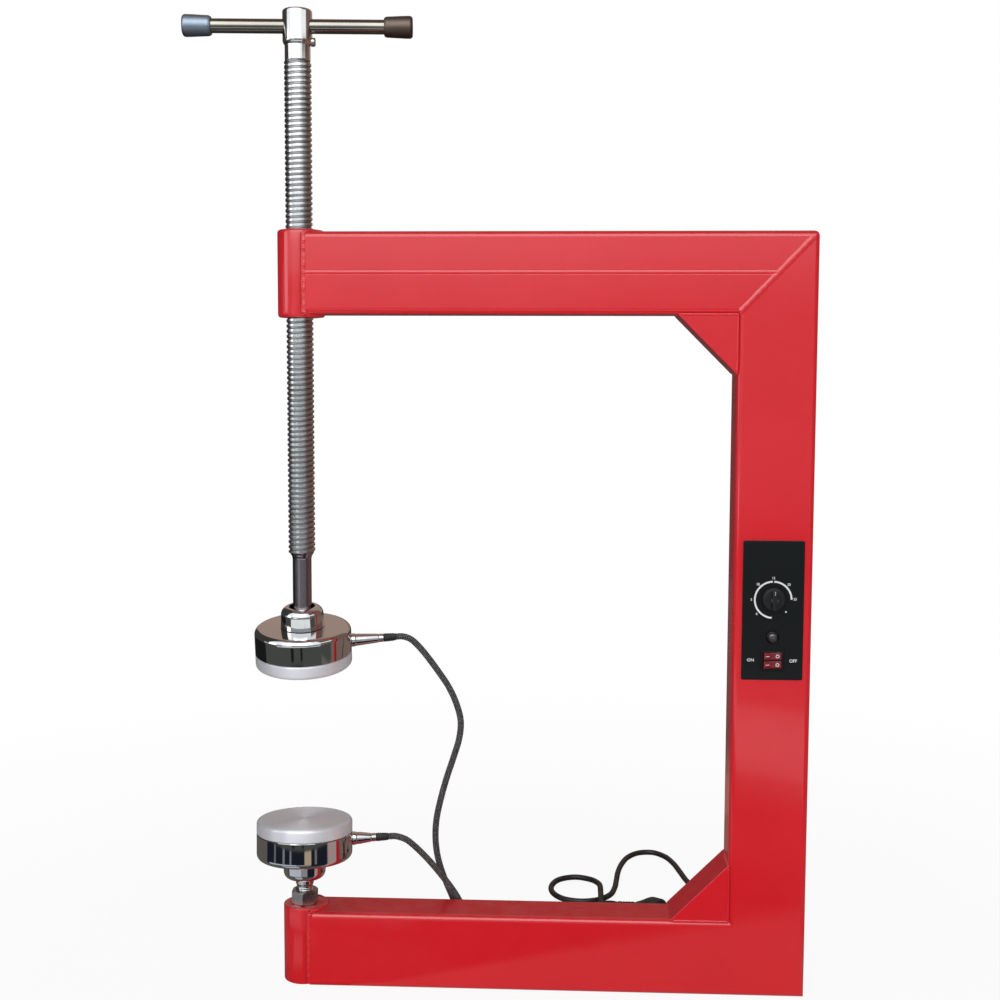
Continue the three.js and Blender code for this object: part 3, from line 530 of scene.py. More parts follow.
    @classmethod
    def lettering(cls, name: str, words: str, size: float, place: Matrix) -> Piece:
        """Sets words as thin raised ink, facing the front.

        Args:
            name: The piece's name.
            words: What it says.
            size: Height of the letters.
            place: Where its middle goes.

        Returns:
            The new piece.
        """
        cls.clear()
        bpy.ops.object.text_add(location=(0, 0, 0))
        text = bpy.context.active_object.data
        text.body = words
        text.size = size * MM * cls.letter_scale
        text.align_x = text.align_y = "CENTER"
        text.extrude = cls.letter_rise * MM
        text.offset = cls.letter_weight * MM
        cls.take(bpy.context.active_object)
        bpy.ops.object.convert(target="MESH")
        return cls.put(cls.named(name), place @ TO_FRONT)


class Effect(Enum):
    """Surface effects that more than one finish uses, each a shader node group."""

    MOTTLE = "Mottle"
    PEEL = "OrangePeel"
    BRUSH = "BrushMarks"
    RINGS = "TurningRings"
    DUST = "SettledDust"
    ROOTS = "DarkRoots"
    BRAID = "BraidedSleeve"


class Board:
    """Lays nodes on the tree of a material or a group."""

    def __init__(self, tree: bpy.types.NodeTree) -> None:
        """Takes the tree to work on."""
        self.tree = tree
        self.count = 0

    def node(self, kind: str, **values: object) -> Node:
        """Adds a node, its input sockets set or linked by name.

        Args:
            kind: The node's type.
            values: For each input, a number, colour or an output socket. A name that starts with
                set_ is a property of the node instead.

        Returns:
            The new node.
        """
        made = self.tree.nodes.new(kind)
        made.location = (180 * (self.count % 8) - 900, -220 * (self.count // 8))
        self.count += 1
        for name, value in values.items():
            if name.startswith("set_"):
                setattr(made, name[4:], value)
        for name, value in values.items():
            if name.startswith("set_"):
                continue
            label = name.replace("_", " ")
            numbered = label[0] == "i" and label[1:].isdigit()
            socket = made.inputs[int(label[1:]) if numbered else label]
            if isinstance(value, Socket):
                self.tree.links.new(value, socket)
            else:
                socket.default_value = value
        return made

    def link(self, source: Socket, target: Socket) -> None:
        """Joins an output to an input."""
        self.tree.links.new(source, target)

    def place(self) -> Socket:
        """Gives the position on the piece."""
        return self.node("ShaderNodeTexCoord").outputs["Object"]

    def noise(self, at: object, scale: object, detail: float = 3.0, rough: float = 0.55) -> Socket:
        """Gives noise between 0 and 1."""
        return self.node("ShaderNodeTexNoise", Vector=at, Scale=scale, Detail=detail,
                         Roughness=rough).outputs[0]

    def span(self, value: object, low: object, high: object, to_low: object = 0.0,
             to_high: object = 1.0) -> Socket:
        """Maps a value from one span to another, clamped."""
        return self.node("ShaderNodeMapRange", Value=value, From_Min=low, From_Max=high,
                         To_Min=to_low, To_Max=to_high).outputs[0]

    def sum(self, operation: str, first: object, second: object = 0.0) -> Socket:
        """Works out one step of arithmetic."""
        return self.node("ShaderNodeMath", set_operation=operation, i0=first, i1=second).outputs[0]

    def blend(self, share: object, first: object, second: object) -> Socket:
        """Mixes two colours."""
        return self.node("ShaderNodeMix", set_data_type="RGBA", i0=share, i6=first, i7=second).outputs[2]

    def effect(self, effect: Effect, **values: object) -> Node:
        """Places an effect group.

        Args:
            effect: Which effect.
            values: Its inputs.

        Returns:
            The group node.
        """
        made = self.node("ShaderNodeGroup", set_node_tree=EffectShelf.get(effect), **values)
        made.label = effect.value
        return made


class EffectShelf:
    """Builds each effect group once and hands it out."""

    made: ClassVar[dict[Effect, bpy.types.NodeTree]] = {}

    @classmethod
    def get(cls, effect: Effect) -> bpy.types.NodeTree:
        """Returns an effect's group, built on first use.

        Args:
            effect: Which effect.

        Returns:
            The node group.
        """
        if effect not in cls.made:
            builders = {
                Effect.MOTTLE: cls._mottle, Effect.PEEL: cls._peel, Effect.BRUSH: cls._brush,
                Effect.RINGS: cls._rings, Effect.DUST: cls._dust, Effect.ROOTS: cls._roots,
                Effect.BRAID: cls._braid,
            }
            cls.made[effect] = builders[effect]()
        return cls.made[effect]

    @staticmethod
    def _open(effect: Effect, inputs: dict[str, object], outputs: dict[str, str]) -> tuple:
        """Starts a group with its sockets.

        Args:
            effect: The effect, which names the group.
            inputs: Name of each input with its first value.
            outputs: Name of each output with its socket type.

        Returns:
            The board, the group's input node and its output node.
        """
        tree = bpy.data.node_groups.new(effect.value, "ShaderNodeTree")
        for name, value in inputs.items():
            kind = "NodeSocketFloat"
            if isinstance(value, tuple):
                kind = "NodeSocketVector" if len(value) == 3 else "NodeSocketColor"
            socket = tree.interface.new_socket(name=name, in_out="INPUT", socket_type=kind)
            socket.default_value = value
        for name, kind in outputs.items():
            tree.interface.new_socket(name=name, in_out="OUTPUT", socket_type=kind)
        board = Board(tree)
        return board, board.node("NodeGroupInput"), board.node("NodeGroupOutput")

    @classmethod
    def _mottle(cls) -> bpy.types.NodeTree:
        """Builds the slow drift between two shades of a colour."""
        board, given, result = cls._open(
            Effect.MOTTLE, {"First": WHITE, "Second": WHITE, "Scale": 40.0, "Spread": 0.2},
            {"Colour": "NodeSocketColor", "Mask": "NodeSocketFloat"})
        grain = board.noise(board.place(), given.outputs["Scale"], 4.0, 0.6)
        low = board.sum("SUBTRACT", 0.5, given.outputs["Spread"])
        high = board.sum("ADD", 0.5, given.outputs["Spread"])
        mask = board.span(grain, low, high)
        mixed = board.blend(mask, given.outputs["First"], given.outputs["Second"])
        board.link(mixed, result.inputs["Colour"])
        board.link(mask, result.inputs["Mask"])
        return board.tree

    @classmethod
    def _peel(cls) -> bpy.types.NodeTree:
        """Builds the soft dimples of sprayed or moulded gloss."""
        board, given, result = cls._open(
            Effect.PEEL, {"Scale": 300.0, "Fine": 0.3}, {"Height": "NodeSocketFloat"})
        place = board.place()
        broad = board.noise(place, given.outputs["Scale"], 1.0, 0.4)
        finer = board.noise(place, board.sum("MULTIPLY", given.outputs["Scale"], 4.3), 2.0, 0.5)
        height = board.sum("ADD", broad, board.sum("MULTIPLY", finer, given.outputs["Fine"]))
        board.link(height, result.inputs["Height"])
        return board.tree

    @classmethod
    def _brush(cls) -> bpy.types.NodeTree:
        """Builds fine marks that run one way."""
        board, given, result = cls._open(
            Effect.BRUSH, {"Stretch": (1.0, 1.0, 1.0), "Scale": 900.0},
            {"Mask": "NodeSocketFloat"})
        drawn = board.node("ShaderNodeVectorMath", set_operation="MULTIPLY", i0=board.place(),
                           i1=given.outputs["Stretch"]).outputs[0]
        marks = board.noise(drawn, given.outputs["Scale"], 3.0, 0.7)
        board.link(board.span(marks, 0.3, 0.7), result.inputs["Mask"])
        return board.tree

    @staticmethod
    def _off_axis(board: Board, centre: object) -> Socket:
        """Gives the distance from an upright axis.

        Args:
            board: The board.
            centre: Socket of a point on the axis, in metres.

        Returns:
            The distance in metres.
        """
        away = board.node("ShaderNodeVectorMath", set_operation="SUBTRACT", i0=board.place(), i1=centre)
        flat = board.node("ShaderNodeVectorMath", set_operation="MULTIPLY", i0=away.outputs[0],
                          i1=(1.0, 1.0, 0.0))
        return board.node("ShaderNodeVectorMath", set_operation="LENGTH", i0=flat.outputs[0]).outputs[1]

    @classmethod
    def _rings(cls) -> bpy.types.NodeTree:
        """Builds the rings that a lathe tool leaves round an upright axis."""
        board, given, result = cls._open(
            Effect.RINGS, {"Centre": (0.0, 0.0, 0.0), "Lines": 1500.0},
            {"Height": "NodeSocketFloat", "Mask": "NodeSocketFloat"})
        reach = cls._off_axis(board, given.outputs["Centre"])
        walk = board.sum("MULTIPLY", reach, given.outputs["Lines"])
        groove = board.node("ShaderNodeTexNoise", set_noise_dimensions="1D", W=walk, Scale=1.0,
                            Detail=3.0, Roughness=0.6).outputs[0]
        broad = board.node("ShaderNodeTexNoise", set_noise_dimensions="1D",
                           W=board.sum("MULTIPLY", walk, 0.08), Scale=1.0, Detail=1.0).outputs[0]
        board.link(groove, result.inputs["Height"])
        board.link(board.span(broad, 0.35, 0.65), result.inputs["Mask"])
        return board.tree

    @classmethod
    def _dust(cls) -> bpy.types.NodeTree:
        """Builds a thin patchy film on faces that look up."""
        board, given, result = cls._open(
            Effect.DUST, {"Scale": 60.0, "Amount": 0.2}, {"Mask": "NodeSocketFloat"})
        normal = board.node("ShaderNodeNewGeometry").outputs["Normal"]
        upright = board.node("ShaderNodeSeparateXYZ", Vector=normal).outputs["Z"]
        patch = board.span(board.noise(board.place(), given.outputs["Scale"], 5.0, 0.65), 0.35, 0.75)
        facing = board.span(upright, 0.3, 0.95)
        mask = board.sum("MULTIPLY", board.sum("MULTIPLY", patch, facing), given.outputs["Amount"])
        board.link(mask, result.inputs["Mask"])
        return board.tree

    @classmethod
    def _roots(cls) -> bpy.types.NodeTree:
        """Builds a darkening deep in a thread, stronger nearer its axis."""
        board, given, result = cls._open(
            Effect.ROOTS, {"Centre": (0.0, 0.0, 0.0), "Root": 0.0104, "Crest": 0.0126, "Patches": 60.0},
            {"Mask": "NodeSocketFloat"})
        reach = cls._off_axis(board, given.outputs["Centre"])
        deep = board.span(reach, given.outputs["Root"], given.outputs["Crest"], 1.0, 0.0)
        patch = board.span(board.noise(board.place(), given.outputs["Patches"], 3.0, 0.6), 0.3, 0.7, 0.55,
                           1.0)
        board.link(board.sum("MULTIPLY", deep, patch), result.inputs["Mask"])
        return board.tree

    @classmethod
    def _braid(cls) -> bpy.types.NodeTree:
        """Builds a woven sleeve from the UV map of a swept piece."""
        board, given, result = cls._open(
            Effect.BRAID, {"Along": 120.0, "Around": 8.0},
            {"Height": "NodeSocketFloat", "Mask": "NodeSocketFloat"})
        uv = board.node("ShaderNodeTexCoord").outputs["UV"]
        parts = board.node("ShaderNodeSeparateXYZ", Vector=uv)
        along = board.sum("MULTIPLY", parts.outputs["X"], given.outputs["Along"])
        around = board.sum("MULTIPLY", parts.outputs["Y"], given.outputs["Around"])
        waves = []
        for operation in ("ADD", "SUBTRACT"):
            turn = board.sum("MULTIPLY", board.sum(operation, along, around), math.tau)
            waves.append(board.sum("SINE", turn))
        woven = board.sum("MULTIPLY", waves[0], waves[1])
        height = board.span(woven, -1.0, 1.0)
        fleck = board.noise(board.place(), 900.0, 2.0, 0.6)
        board.link(height, result.inputs["Height"])
        board.link(board.span(board.sum("MULTIPLY", height, fleck), 0.28, 0.52), result.inputs["Mask"])
        return board.tree


def opaque(colour: Colour) -> tuple[float, float, float, float]:
    """Gives a colour its full alpha."""
    return (*colour, 1.0)


@dataclass(frozen=True)
class Finish:
    """A finish that a material is made from; each kind adds its own surface."""

    name: str
    colour: Colour
    roughness: float

    def surface(self, board: Board, shader: Node) -> None:
        """Lays the nodes of this kind of finish."""
        raise NotImplementedError

    def material(self) -> bpy.types.Material:
        """Makes the material, or finds it if it is made already.

        Returns:
            The material.
        """
        known = bpy.data.materials.get(self.name)
        if known:
            return known
        made = bpy.data.materials.new(self.name)
        made.use_nodes = True
        tree = made.node_tree
        tree.nodes.clear()
        board = Board(tree)
        shader = board.node("ShaderNodeBsdfPrincipled", Base_Color=opaque(self.colour),
                            Roughness=self.roughness)
        result = board.node("ShaderNodeOutputMaterial", Surface=shader.outputs[0])
        result.location = (900, 0)
        self.surface(board, shader)
        made.diffuse_color = opaque(self.colour)
        return made

    def tone(self, board: Board, second: Colour, scale: float, spread: float) -> Node:
        """Adds a slow drift from the finish's own colour to a second one."""
        return board.effect(Effect.MOTTLE, First=opaque(self.colour), Second=opaque(second),
                            Scale=scale, Spread=spread)

    @staticmethod
    def bump(board: Board, shader: Node, height: object, depth: float, strength: float = 1.0) -> None:
        """Feeds a height to the shader's normal."""
        bump = board.node("ShaderNodeBump", Height=height, Distance=depth * MM, Strength=strength)
        board.link(bump.outputs[0], shader.inputs["Normal"])


@dataclass(frozen=True)
class Enamel(Finish):
    """Sprayed gloss paint with orange peel, a drift of shade and a trace of dust."""

    shade: Colour = (0.5, 0.01, 0.014)
    peel: float = 0.04
    dust: float = 0.07

    def surface(self, board: Board, shader: Node) -> None:
        """Lays the paint's nodes."""
        tone = self.tone(board, self.shade, 9.0, 0.32)
        dust = board.effect(Effect.DUST, Scale=55.0, Amount=self.dust)
        colour = board.blend(dust.outputs[0], tone.outputs[0], opaque((0.55, 0.38, 0.36)))
        board.link(colour, shader.inputs["Base Color"])
        worn = board.span(board.noise(board.place(), 24.0, 4.0, 0.6), 0.35, 0.75,
                          self.roughness, self.roughness + 0.05)
        board.link(board.sum("ADD", worn, board.sum("MULTIPLY", dust.outputs[0], 0.5)),
                             shader.inputs["Roughness"])
        shader.inputs["Coat Weight"].default_value = 0.5
        shader.inputs["Coat Roughness"].default_value = 0.06
        peel = board.effect(Effect.PEEL, Scale=230.0, Fine=0.25)
        self.bump(board, shader, peel.outputs[0], self.peel, 0.5)


@dataclass(frozen=True)
class Metal(Finish):
    """Bare or plated metal with fine marks that run one way."""

    shade: Colour = (0.5, 0.5, 0.5)
    stretch: Colour = (1.0, 1.0, 1.0)
    marks: float = 0.06
    relief: float = 0.004

    def surface(self, board: Board, shader: Node) -> None:
        """Lays the metal's nodes."""
        shader.inputs["Metallic"].default_value = 1.0
        tone = self.tone(board, self.shade, 28.0, 0.25)
        board.link(tone.outputs[0], shader.inputs["Base Color"])
        brush = board.effect(Effect.BRUSH, Stretch=self.stretch, Scale=700.0)
        rough = board.span(brush.outputs[0], 0.0, 1.0, self.roughness, self.roughness + self.marks)
        board.link(rough, shader.inputs["Roughness"])
        self.bump(board, shader, brush.outputs[0], self.relief, 0.6)


@dataclass(frozen=True)
class RootDarkenedThread(Metal):
    """Turned steel thread, darker between its crests."""

    centre: Point = (0.0, 0.0, 0.0)
    root: float = 10.5
    crest: float = 12.7

    def surface(self, board: Board, shader: Node) -> None:
        """Lays the thread's nodes."""
        shader.inputs["Metallic"].default_value = 1.0
        tone = self.tone(board, self.shade, 35.0, 0.22)
        roots = board.effect(Effect.ROOTS, Centre=in_metres(self.centre), Root=self.root * MM,
                             Crest=self.crest * MM, Patches=45.0)
        colour = board.blend(roots.outputs[0], tone.outputs[0], opaque((0.22, 0.205, 0.19)))
        board.link(colour, shader.inputs["Base Color"])
        brush = board.effect(Effect.BRUSH, Stretch=self.stretch, Scale=800.0)
        rough = board.span(brush.outputs[0], 0.0, 1.0, self.roughness, self.roughness + self.marks)
        board.link(board.sum("ADD", rough, board.sum("MULTIPLY", roots.outputs[0], 0.2)),
                             shader.inputs["Roughness"])
        self.bump(board, shader, brush.outputs[0], self.relief, 0.5)


@dataclass(frozen=True)
class TurnedFace(Metal):
    """Metal faced on a lathe, with rings round an upright axis."""

    centre: Point = (0.0, 0.0, 0.0)
    lines: float = 1500.0
    bare: float = 0.45

    def surface(self, board: Board, shader: Node) -> None:
        """Lays the turned face's nodes."""
        shader.inputs["Metallic"].default_value = self.bare
        rings = board.effect(Effect.RINGS, Centre=in_metres(self.centre), Lines=self.lines)
        tone = self.tone(board, self.shade, 22.0, 0.3)
        banded = board.blend(board.sum("MULTIPLY", rings.outputs[1], 0.35), tone.outputs[0],
                             opaque(self.shade))
        board.link(banded, shader.inputs["Base Color"])
        rough = board.span(rings.outputs[1], 0.0, 1.0, self.roughness, self.roughness + self.marks)
        board.link(rough, shader.inputs["Roughness"])
        shader.inputs["Anisotropic"].default_value = 0.85
        shader.inputs["Anisotropic Rotation"].default_value = 0.25
        around = board.node("ShaderNodeTangent", set_direction_type="RADIAL", set_axis="Z")
        board.link(around.outputs[0], shader.inputs["Tangent"])
        self.bump(board, shader, rings.outputs[0], self.relief, 0.8)


@dataclass(frozen=True)
class Moulded(Finish):
    """Moulded plastic or rubber with a fine grain and settled dust."""

    shade: Colour = (0.02, 0.02, 0.02)
    grain: float = 900.0
    relief: float = 0.01
    coat: float = 0.0
    dust: float = 0.3
    gloss: float = 0.5

    def surface(self, board: Board, shader: Node) -> None:
        """Lays the plastic's nodes."""
        tone = self.tone(board, self.shade, 30.0, 0.3)
        dust = board.effect(Effect.DUST, Scale=90.0, Amount=self.dust)
        board.link(board.blend(dust.outputs[0], tone.outputs[0], opaque((0.34, 0.33, 0.31))),
                             shader.inputs["Base Color"])
        worn = board.span(tone.outputs[1], 0.0, 1.0, self.roughness, self.roughness + 0.1)
        board.link(board.sum("ADD", worn, board.sum("MULTIPLY", dust.outputs[0], 0.4)),
                             shader.inputs["Roughness"])
        shader.inputs["Specular IOR Level"].default_value = self.gloss
        shader.inputs["Coat Weight"].default_value = self.coat
        shader.inputs["Coat Roughness"].default_value = 0.08
        peel = board.effect(Effect.PEEL, Scale=self.grain, Fine=0.5)
        self.bump(board, shader, peel.outputs[0], self.relief, 0.6)


@dataclass(frozen=True)
class Lens(Finish):
    """Smoked clear plastic of a pilot lamp."""

    def surface(self, board: Board, shader: Node) -> None:
        """Lays the lens's nodes."""
        tint = self.tone(board, (0.09, 0.07, 0.065), 300.0, 0.3)
        board.link(tint.outputs[0], shader.inputs["Base Color"])
        shader.inputs["Transmission Weight"].default_value = 0.35
        shader.inputs["IOR"].default_value = 1.49
        shader.inputs["Coat Weight"].default_value = 1.0
        shader.inputs["Coat Roughness"].default_value = 0.03
        peel = board.effect(Effect.PEEL, Scale=700.0, Fine=0.2)
        self.bump(board, shader, peel.outputs[0], 0.02, 0.5)


@dataclass(frozen=True)
class Braid(Finish):
    """Woven textile sleeve over a lead."""

    along: float = 150.0
    around: float = 6.0
    thread: Colour = (0.24, 0.235, 0.23)

    def surface(self, board: Board, shader: Node) -> None:
        """Lays the sleeve's nodes."""
        woven = board.effect(Effect.BRAID, Along=self.along, Around=self.around)
        colour = board.blend(woven.outputs[1], opaque(self.colour), opaque(self.thread))
        board.link(colour, shader.inputs["Base Color"])
        shader.inputs["Sheen Weight"].default_value = 0.25
        self.bump(board, shader, woven.outputs[0], 0.35, 0.9)


@dataclass(frozen=True)
class Ink(Finish):
    """Screen-printed ink, a little uneven."""

    def surface(self, board: Board, shader: Node) -> None:
        """Lays the ink's nodes."""
        thin = tuple(0.8 * part for part in self.colour)
        tone = self.tone(board, thin, 400.0, 0.25)
        board.link(tone.outputs[0], shader.inputs["Base Color"])
        peel = board.effect(Effect.PEEL, Scale=2500.0, Fine=0.5)
        self.bump(board, shader, peel.outputs[0], 0.004, 0.4)


@dataclass(frozen=True)
class Fibre(Finish):
    """Pressed mica or mineral board, flecked and dull."""

    fleck: Colour = (0.3, 0.26, 0.2)

    def surface(self, board: Board, shader: Node) -> None:
        """Lays the board's nodes."""
        tone = self.tone(board, self.fleck, 260.0, 0.18)
        board.link(tone.outputs[0], shader.inputs["Base Color"])
        peel = board.effect(Effect.PEEL, Scale=800.0, Fine=0.8)
        self.bump(board, shader, peel.outputs[0], 0.08, 0.8)


SCREW_X = -236.5
UPPER_BALL_Z = 360.7
LOWER_BALL_Z = 119.1
UPPER_TILT = math.radians(9.1)
LOWER_TILT = math.radians(177.2)


class Palette:
    """The finishes of this machine."""

    RED = Enamel("RedEnamel", (0.68, 0.013, 0.022), 0.14, shade=(0.61, 0.009, 0.017))
    CHROME = Metal("PolishedChrome", (0.78, 0.77, 0.77), 0.035, shade=(0.72, 0.71, 0.71), marks=0.03,
                   relief=0.001)
    HUB_CHROME = Metal("TurnedChrome", (0.82, 0.80, 0.78), 0.1, shade=(0.74, 0.72, 0.70), marks=0.05,
                       stretch=(0.2, 0.2, 4.0), relief=0.001)
    THREAD = RootDarkenedThread("RootDarkenedThread", (0.74, 0.75, 0.77), 0.2, shade=(0.60, 0.60, 0.61), marks=0.1,
                           centre=(SCREW_X, 0, 0), root=11.8)
    SHANK = Metal("TurnedSteel", (0.44, 0.40, 0.43), 0.15, shade=(0.36, 0.33, 0.35), marks=0.06,
                  stretch=(0.15, 0.15, 3.0), relief=0.002)
    BAR = Metal("BarSteel", (0.30, 0.28, 0.25), 0.13, shade=(0.24, 0.22, 0.195), marks=0.05,
                stretch=(0.08, 2.0, 2.0), relief=0.002)
    # The two bar-end caps are one steel; their blue and brown colours are painted reflections of their
    # surroundings.
    CAP_PAINTED_BLUE_REFLECTION = Metal("CapSteelPaintedBlueReflection", (0.30, 0.35, 0.43), 0.42, shade=(0.25, 0.29, 0.36), marks=0.1,
                     stretch=(3.0, 0.5, 0.5))
    CAP_PAINTED_BROWN_REFLECTION = Metal("CapSteelPaintedBrownReflection", (0.155, 0.120, 0.100), 0.44, shade=(0.125, 0.095, 0.08), marks=0.1,
                      stretch=(3.0, 0.5, 0.5))
    NUT = Metal("NutSteel", (0.50, 0.48, 0.45), 0.24, shade=(0.40, 0.38, 0.35), marks=0.12)
    SATIN = Metal("SatinSteel", (0.42, 0.40, 0.38), 0.38, shade=(0.34, 0.32, 0.30), marks=0.15)
    PLATE = TurnedFace("TurnedAluminium", (0.84, 0.84, 0.88), 0.36, shade=(0.75, 0.75, 0.79), marks=0.08,
                       centre=(SCREW_X, 0, 0), relief=0.003)
    BRONZE = Metal("BearingBronze", (0.52, 0.32, 0.12), 0.35, shade=(0.42, 0.25, 0.09), marks=0.1)
    BRASS = Metal("PinBrass", (0.72, 0.52, 0.20), 0.25, shade=(0.60, 0.42, 0.15), marks=0.1)
    PANEL = Moulded("PanelBlack", (0.008, 0.010, 0.011), 0.2, shade=(0.005, 0.006, 0.006), grain=1400.0,
                    relief=0.006, dust=0.05, gloss=0.22)
    KNOB = Moulded("KnobBlack", (0.012, 0.013, 0.014), 0.3, shade=(0.008, 0.008, 0.009), relief=0.008,
                   coat=0.05, dust=0.06, gloss=0.3)
    LAMP_RING = Metal("BlackChrome", (0.07, 0.07, 0.072), 0.1, shade=(0.05, 0.05, 0.052), marks=0.05,
                      relief=0.001)
    HOUSING = Moulded("HousingBlack", (0.008, 0.007, 0.007), 0.4, shade=(0.006, 0.005, 0.005), relief=0.01,
                      dust=0.05, gloss=0.2)
    ROCKER = Moulded("RockerRed", (0.19, 0.004, 0.011), 0.24, shade=(0.14, 0.003, 0.008), relief=0.004,
                     coat=0.3, dust=0.03)
    GREY = Moulded("MouldedGrey", (0.32, 0.33, 0.34), 0.5, shade=(0.26, 0.27, 0.28))
    RUBBER = Moulded("BlackRubber", (0.015, 0.015, 0.015), 0.55, shade=(0.01, 0.01, 0.01), relief=0.03,
                     dust=0.2)
    VINYL = Moulded("CordVinyl", (0.011, 0.011, 0.012), 0.38, shade=(0.007, 0.007, 0.008), relief=0.02,
                    dust=0.12)
    PLUG = Moulded("PlugBlack", (0.012, 0.012, 0.013), 0.42, shade=(0.008, 0.008, 0.009), relief=0.02,
                   dust=0.15)
    LENS = Lens("SmokedLens", (0.05, 0.045, 0.045), 0.12)
    UPPER_BRAID = Braid("UpperSleeve", (0.006, 0.006, 0.007), 0.62, along=174.0)
    END_BRAID = Braid("UpperEndSleeve", (0.006, 0.006, 0.007), 0.62, along=16.0)
    LOWER_BRAID = Braid("LowerSleeve", (0.006, 0.006, 0.007), 0.62, along=128.0)
    INK = Ink("WhiteInk", (0.78, 0.79, 0.80), 0.5)
    MICA = Fibre("PressedMica", (0.48, 0.42, 0.30), 0.75)
    BOARD = Fibre("MineralBoard", (0.50, 0.49, 0.45), 0.9, fleck=(0.4, 0.39, 0.36))


def fit(piece: Piece, finish: Finish, body: Body, replaces: Iterable[str] = ()) -> Piece:
    """Gives a piece its finish, puts it on a body and reports it.

    Args:
        piece: The piece.
        finish: Its finish.
        body: The body that it rides on.
        replaces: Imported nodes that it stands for.

    Returns:
        The same piece.
    """
    piece.data.materials.clear()
    piece.data.materials.append(finish.material())
    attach(piece, body.value)
    nodes = tuple(replaces)
    if nodes:
        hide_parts(*nodes)
    log.info("%s on %s, %d faces", piece.name, body.value, len(piece.data.polygons))
    return piece


def dress(node: str, finish: Finish) -> None:
    """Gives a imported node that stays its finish.

    Args:
        node: The node's name.
        finish: Its finish.
    """
    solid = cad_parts[node]
    if not solid.material_slots:
        solid.data.materials.append(finish.material())
    for slot in solid.material_slots:
        slot.material = finish.material()
    log.info("%s keeps its solid", node)


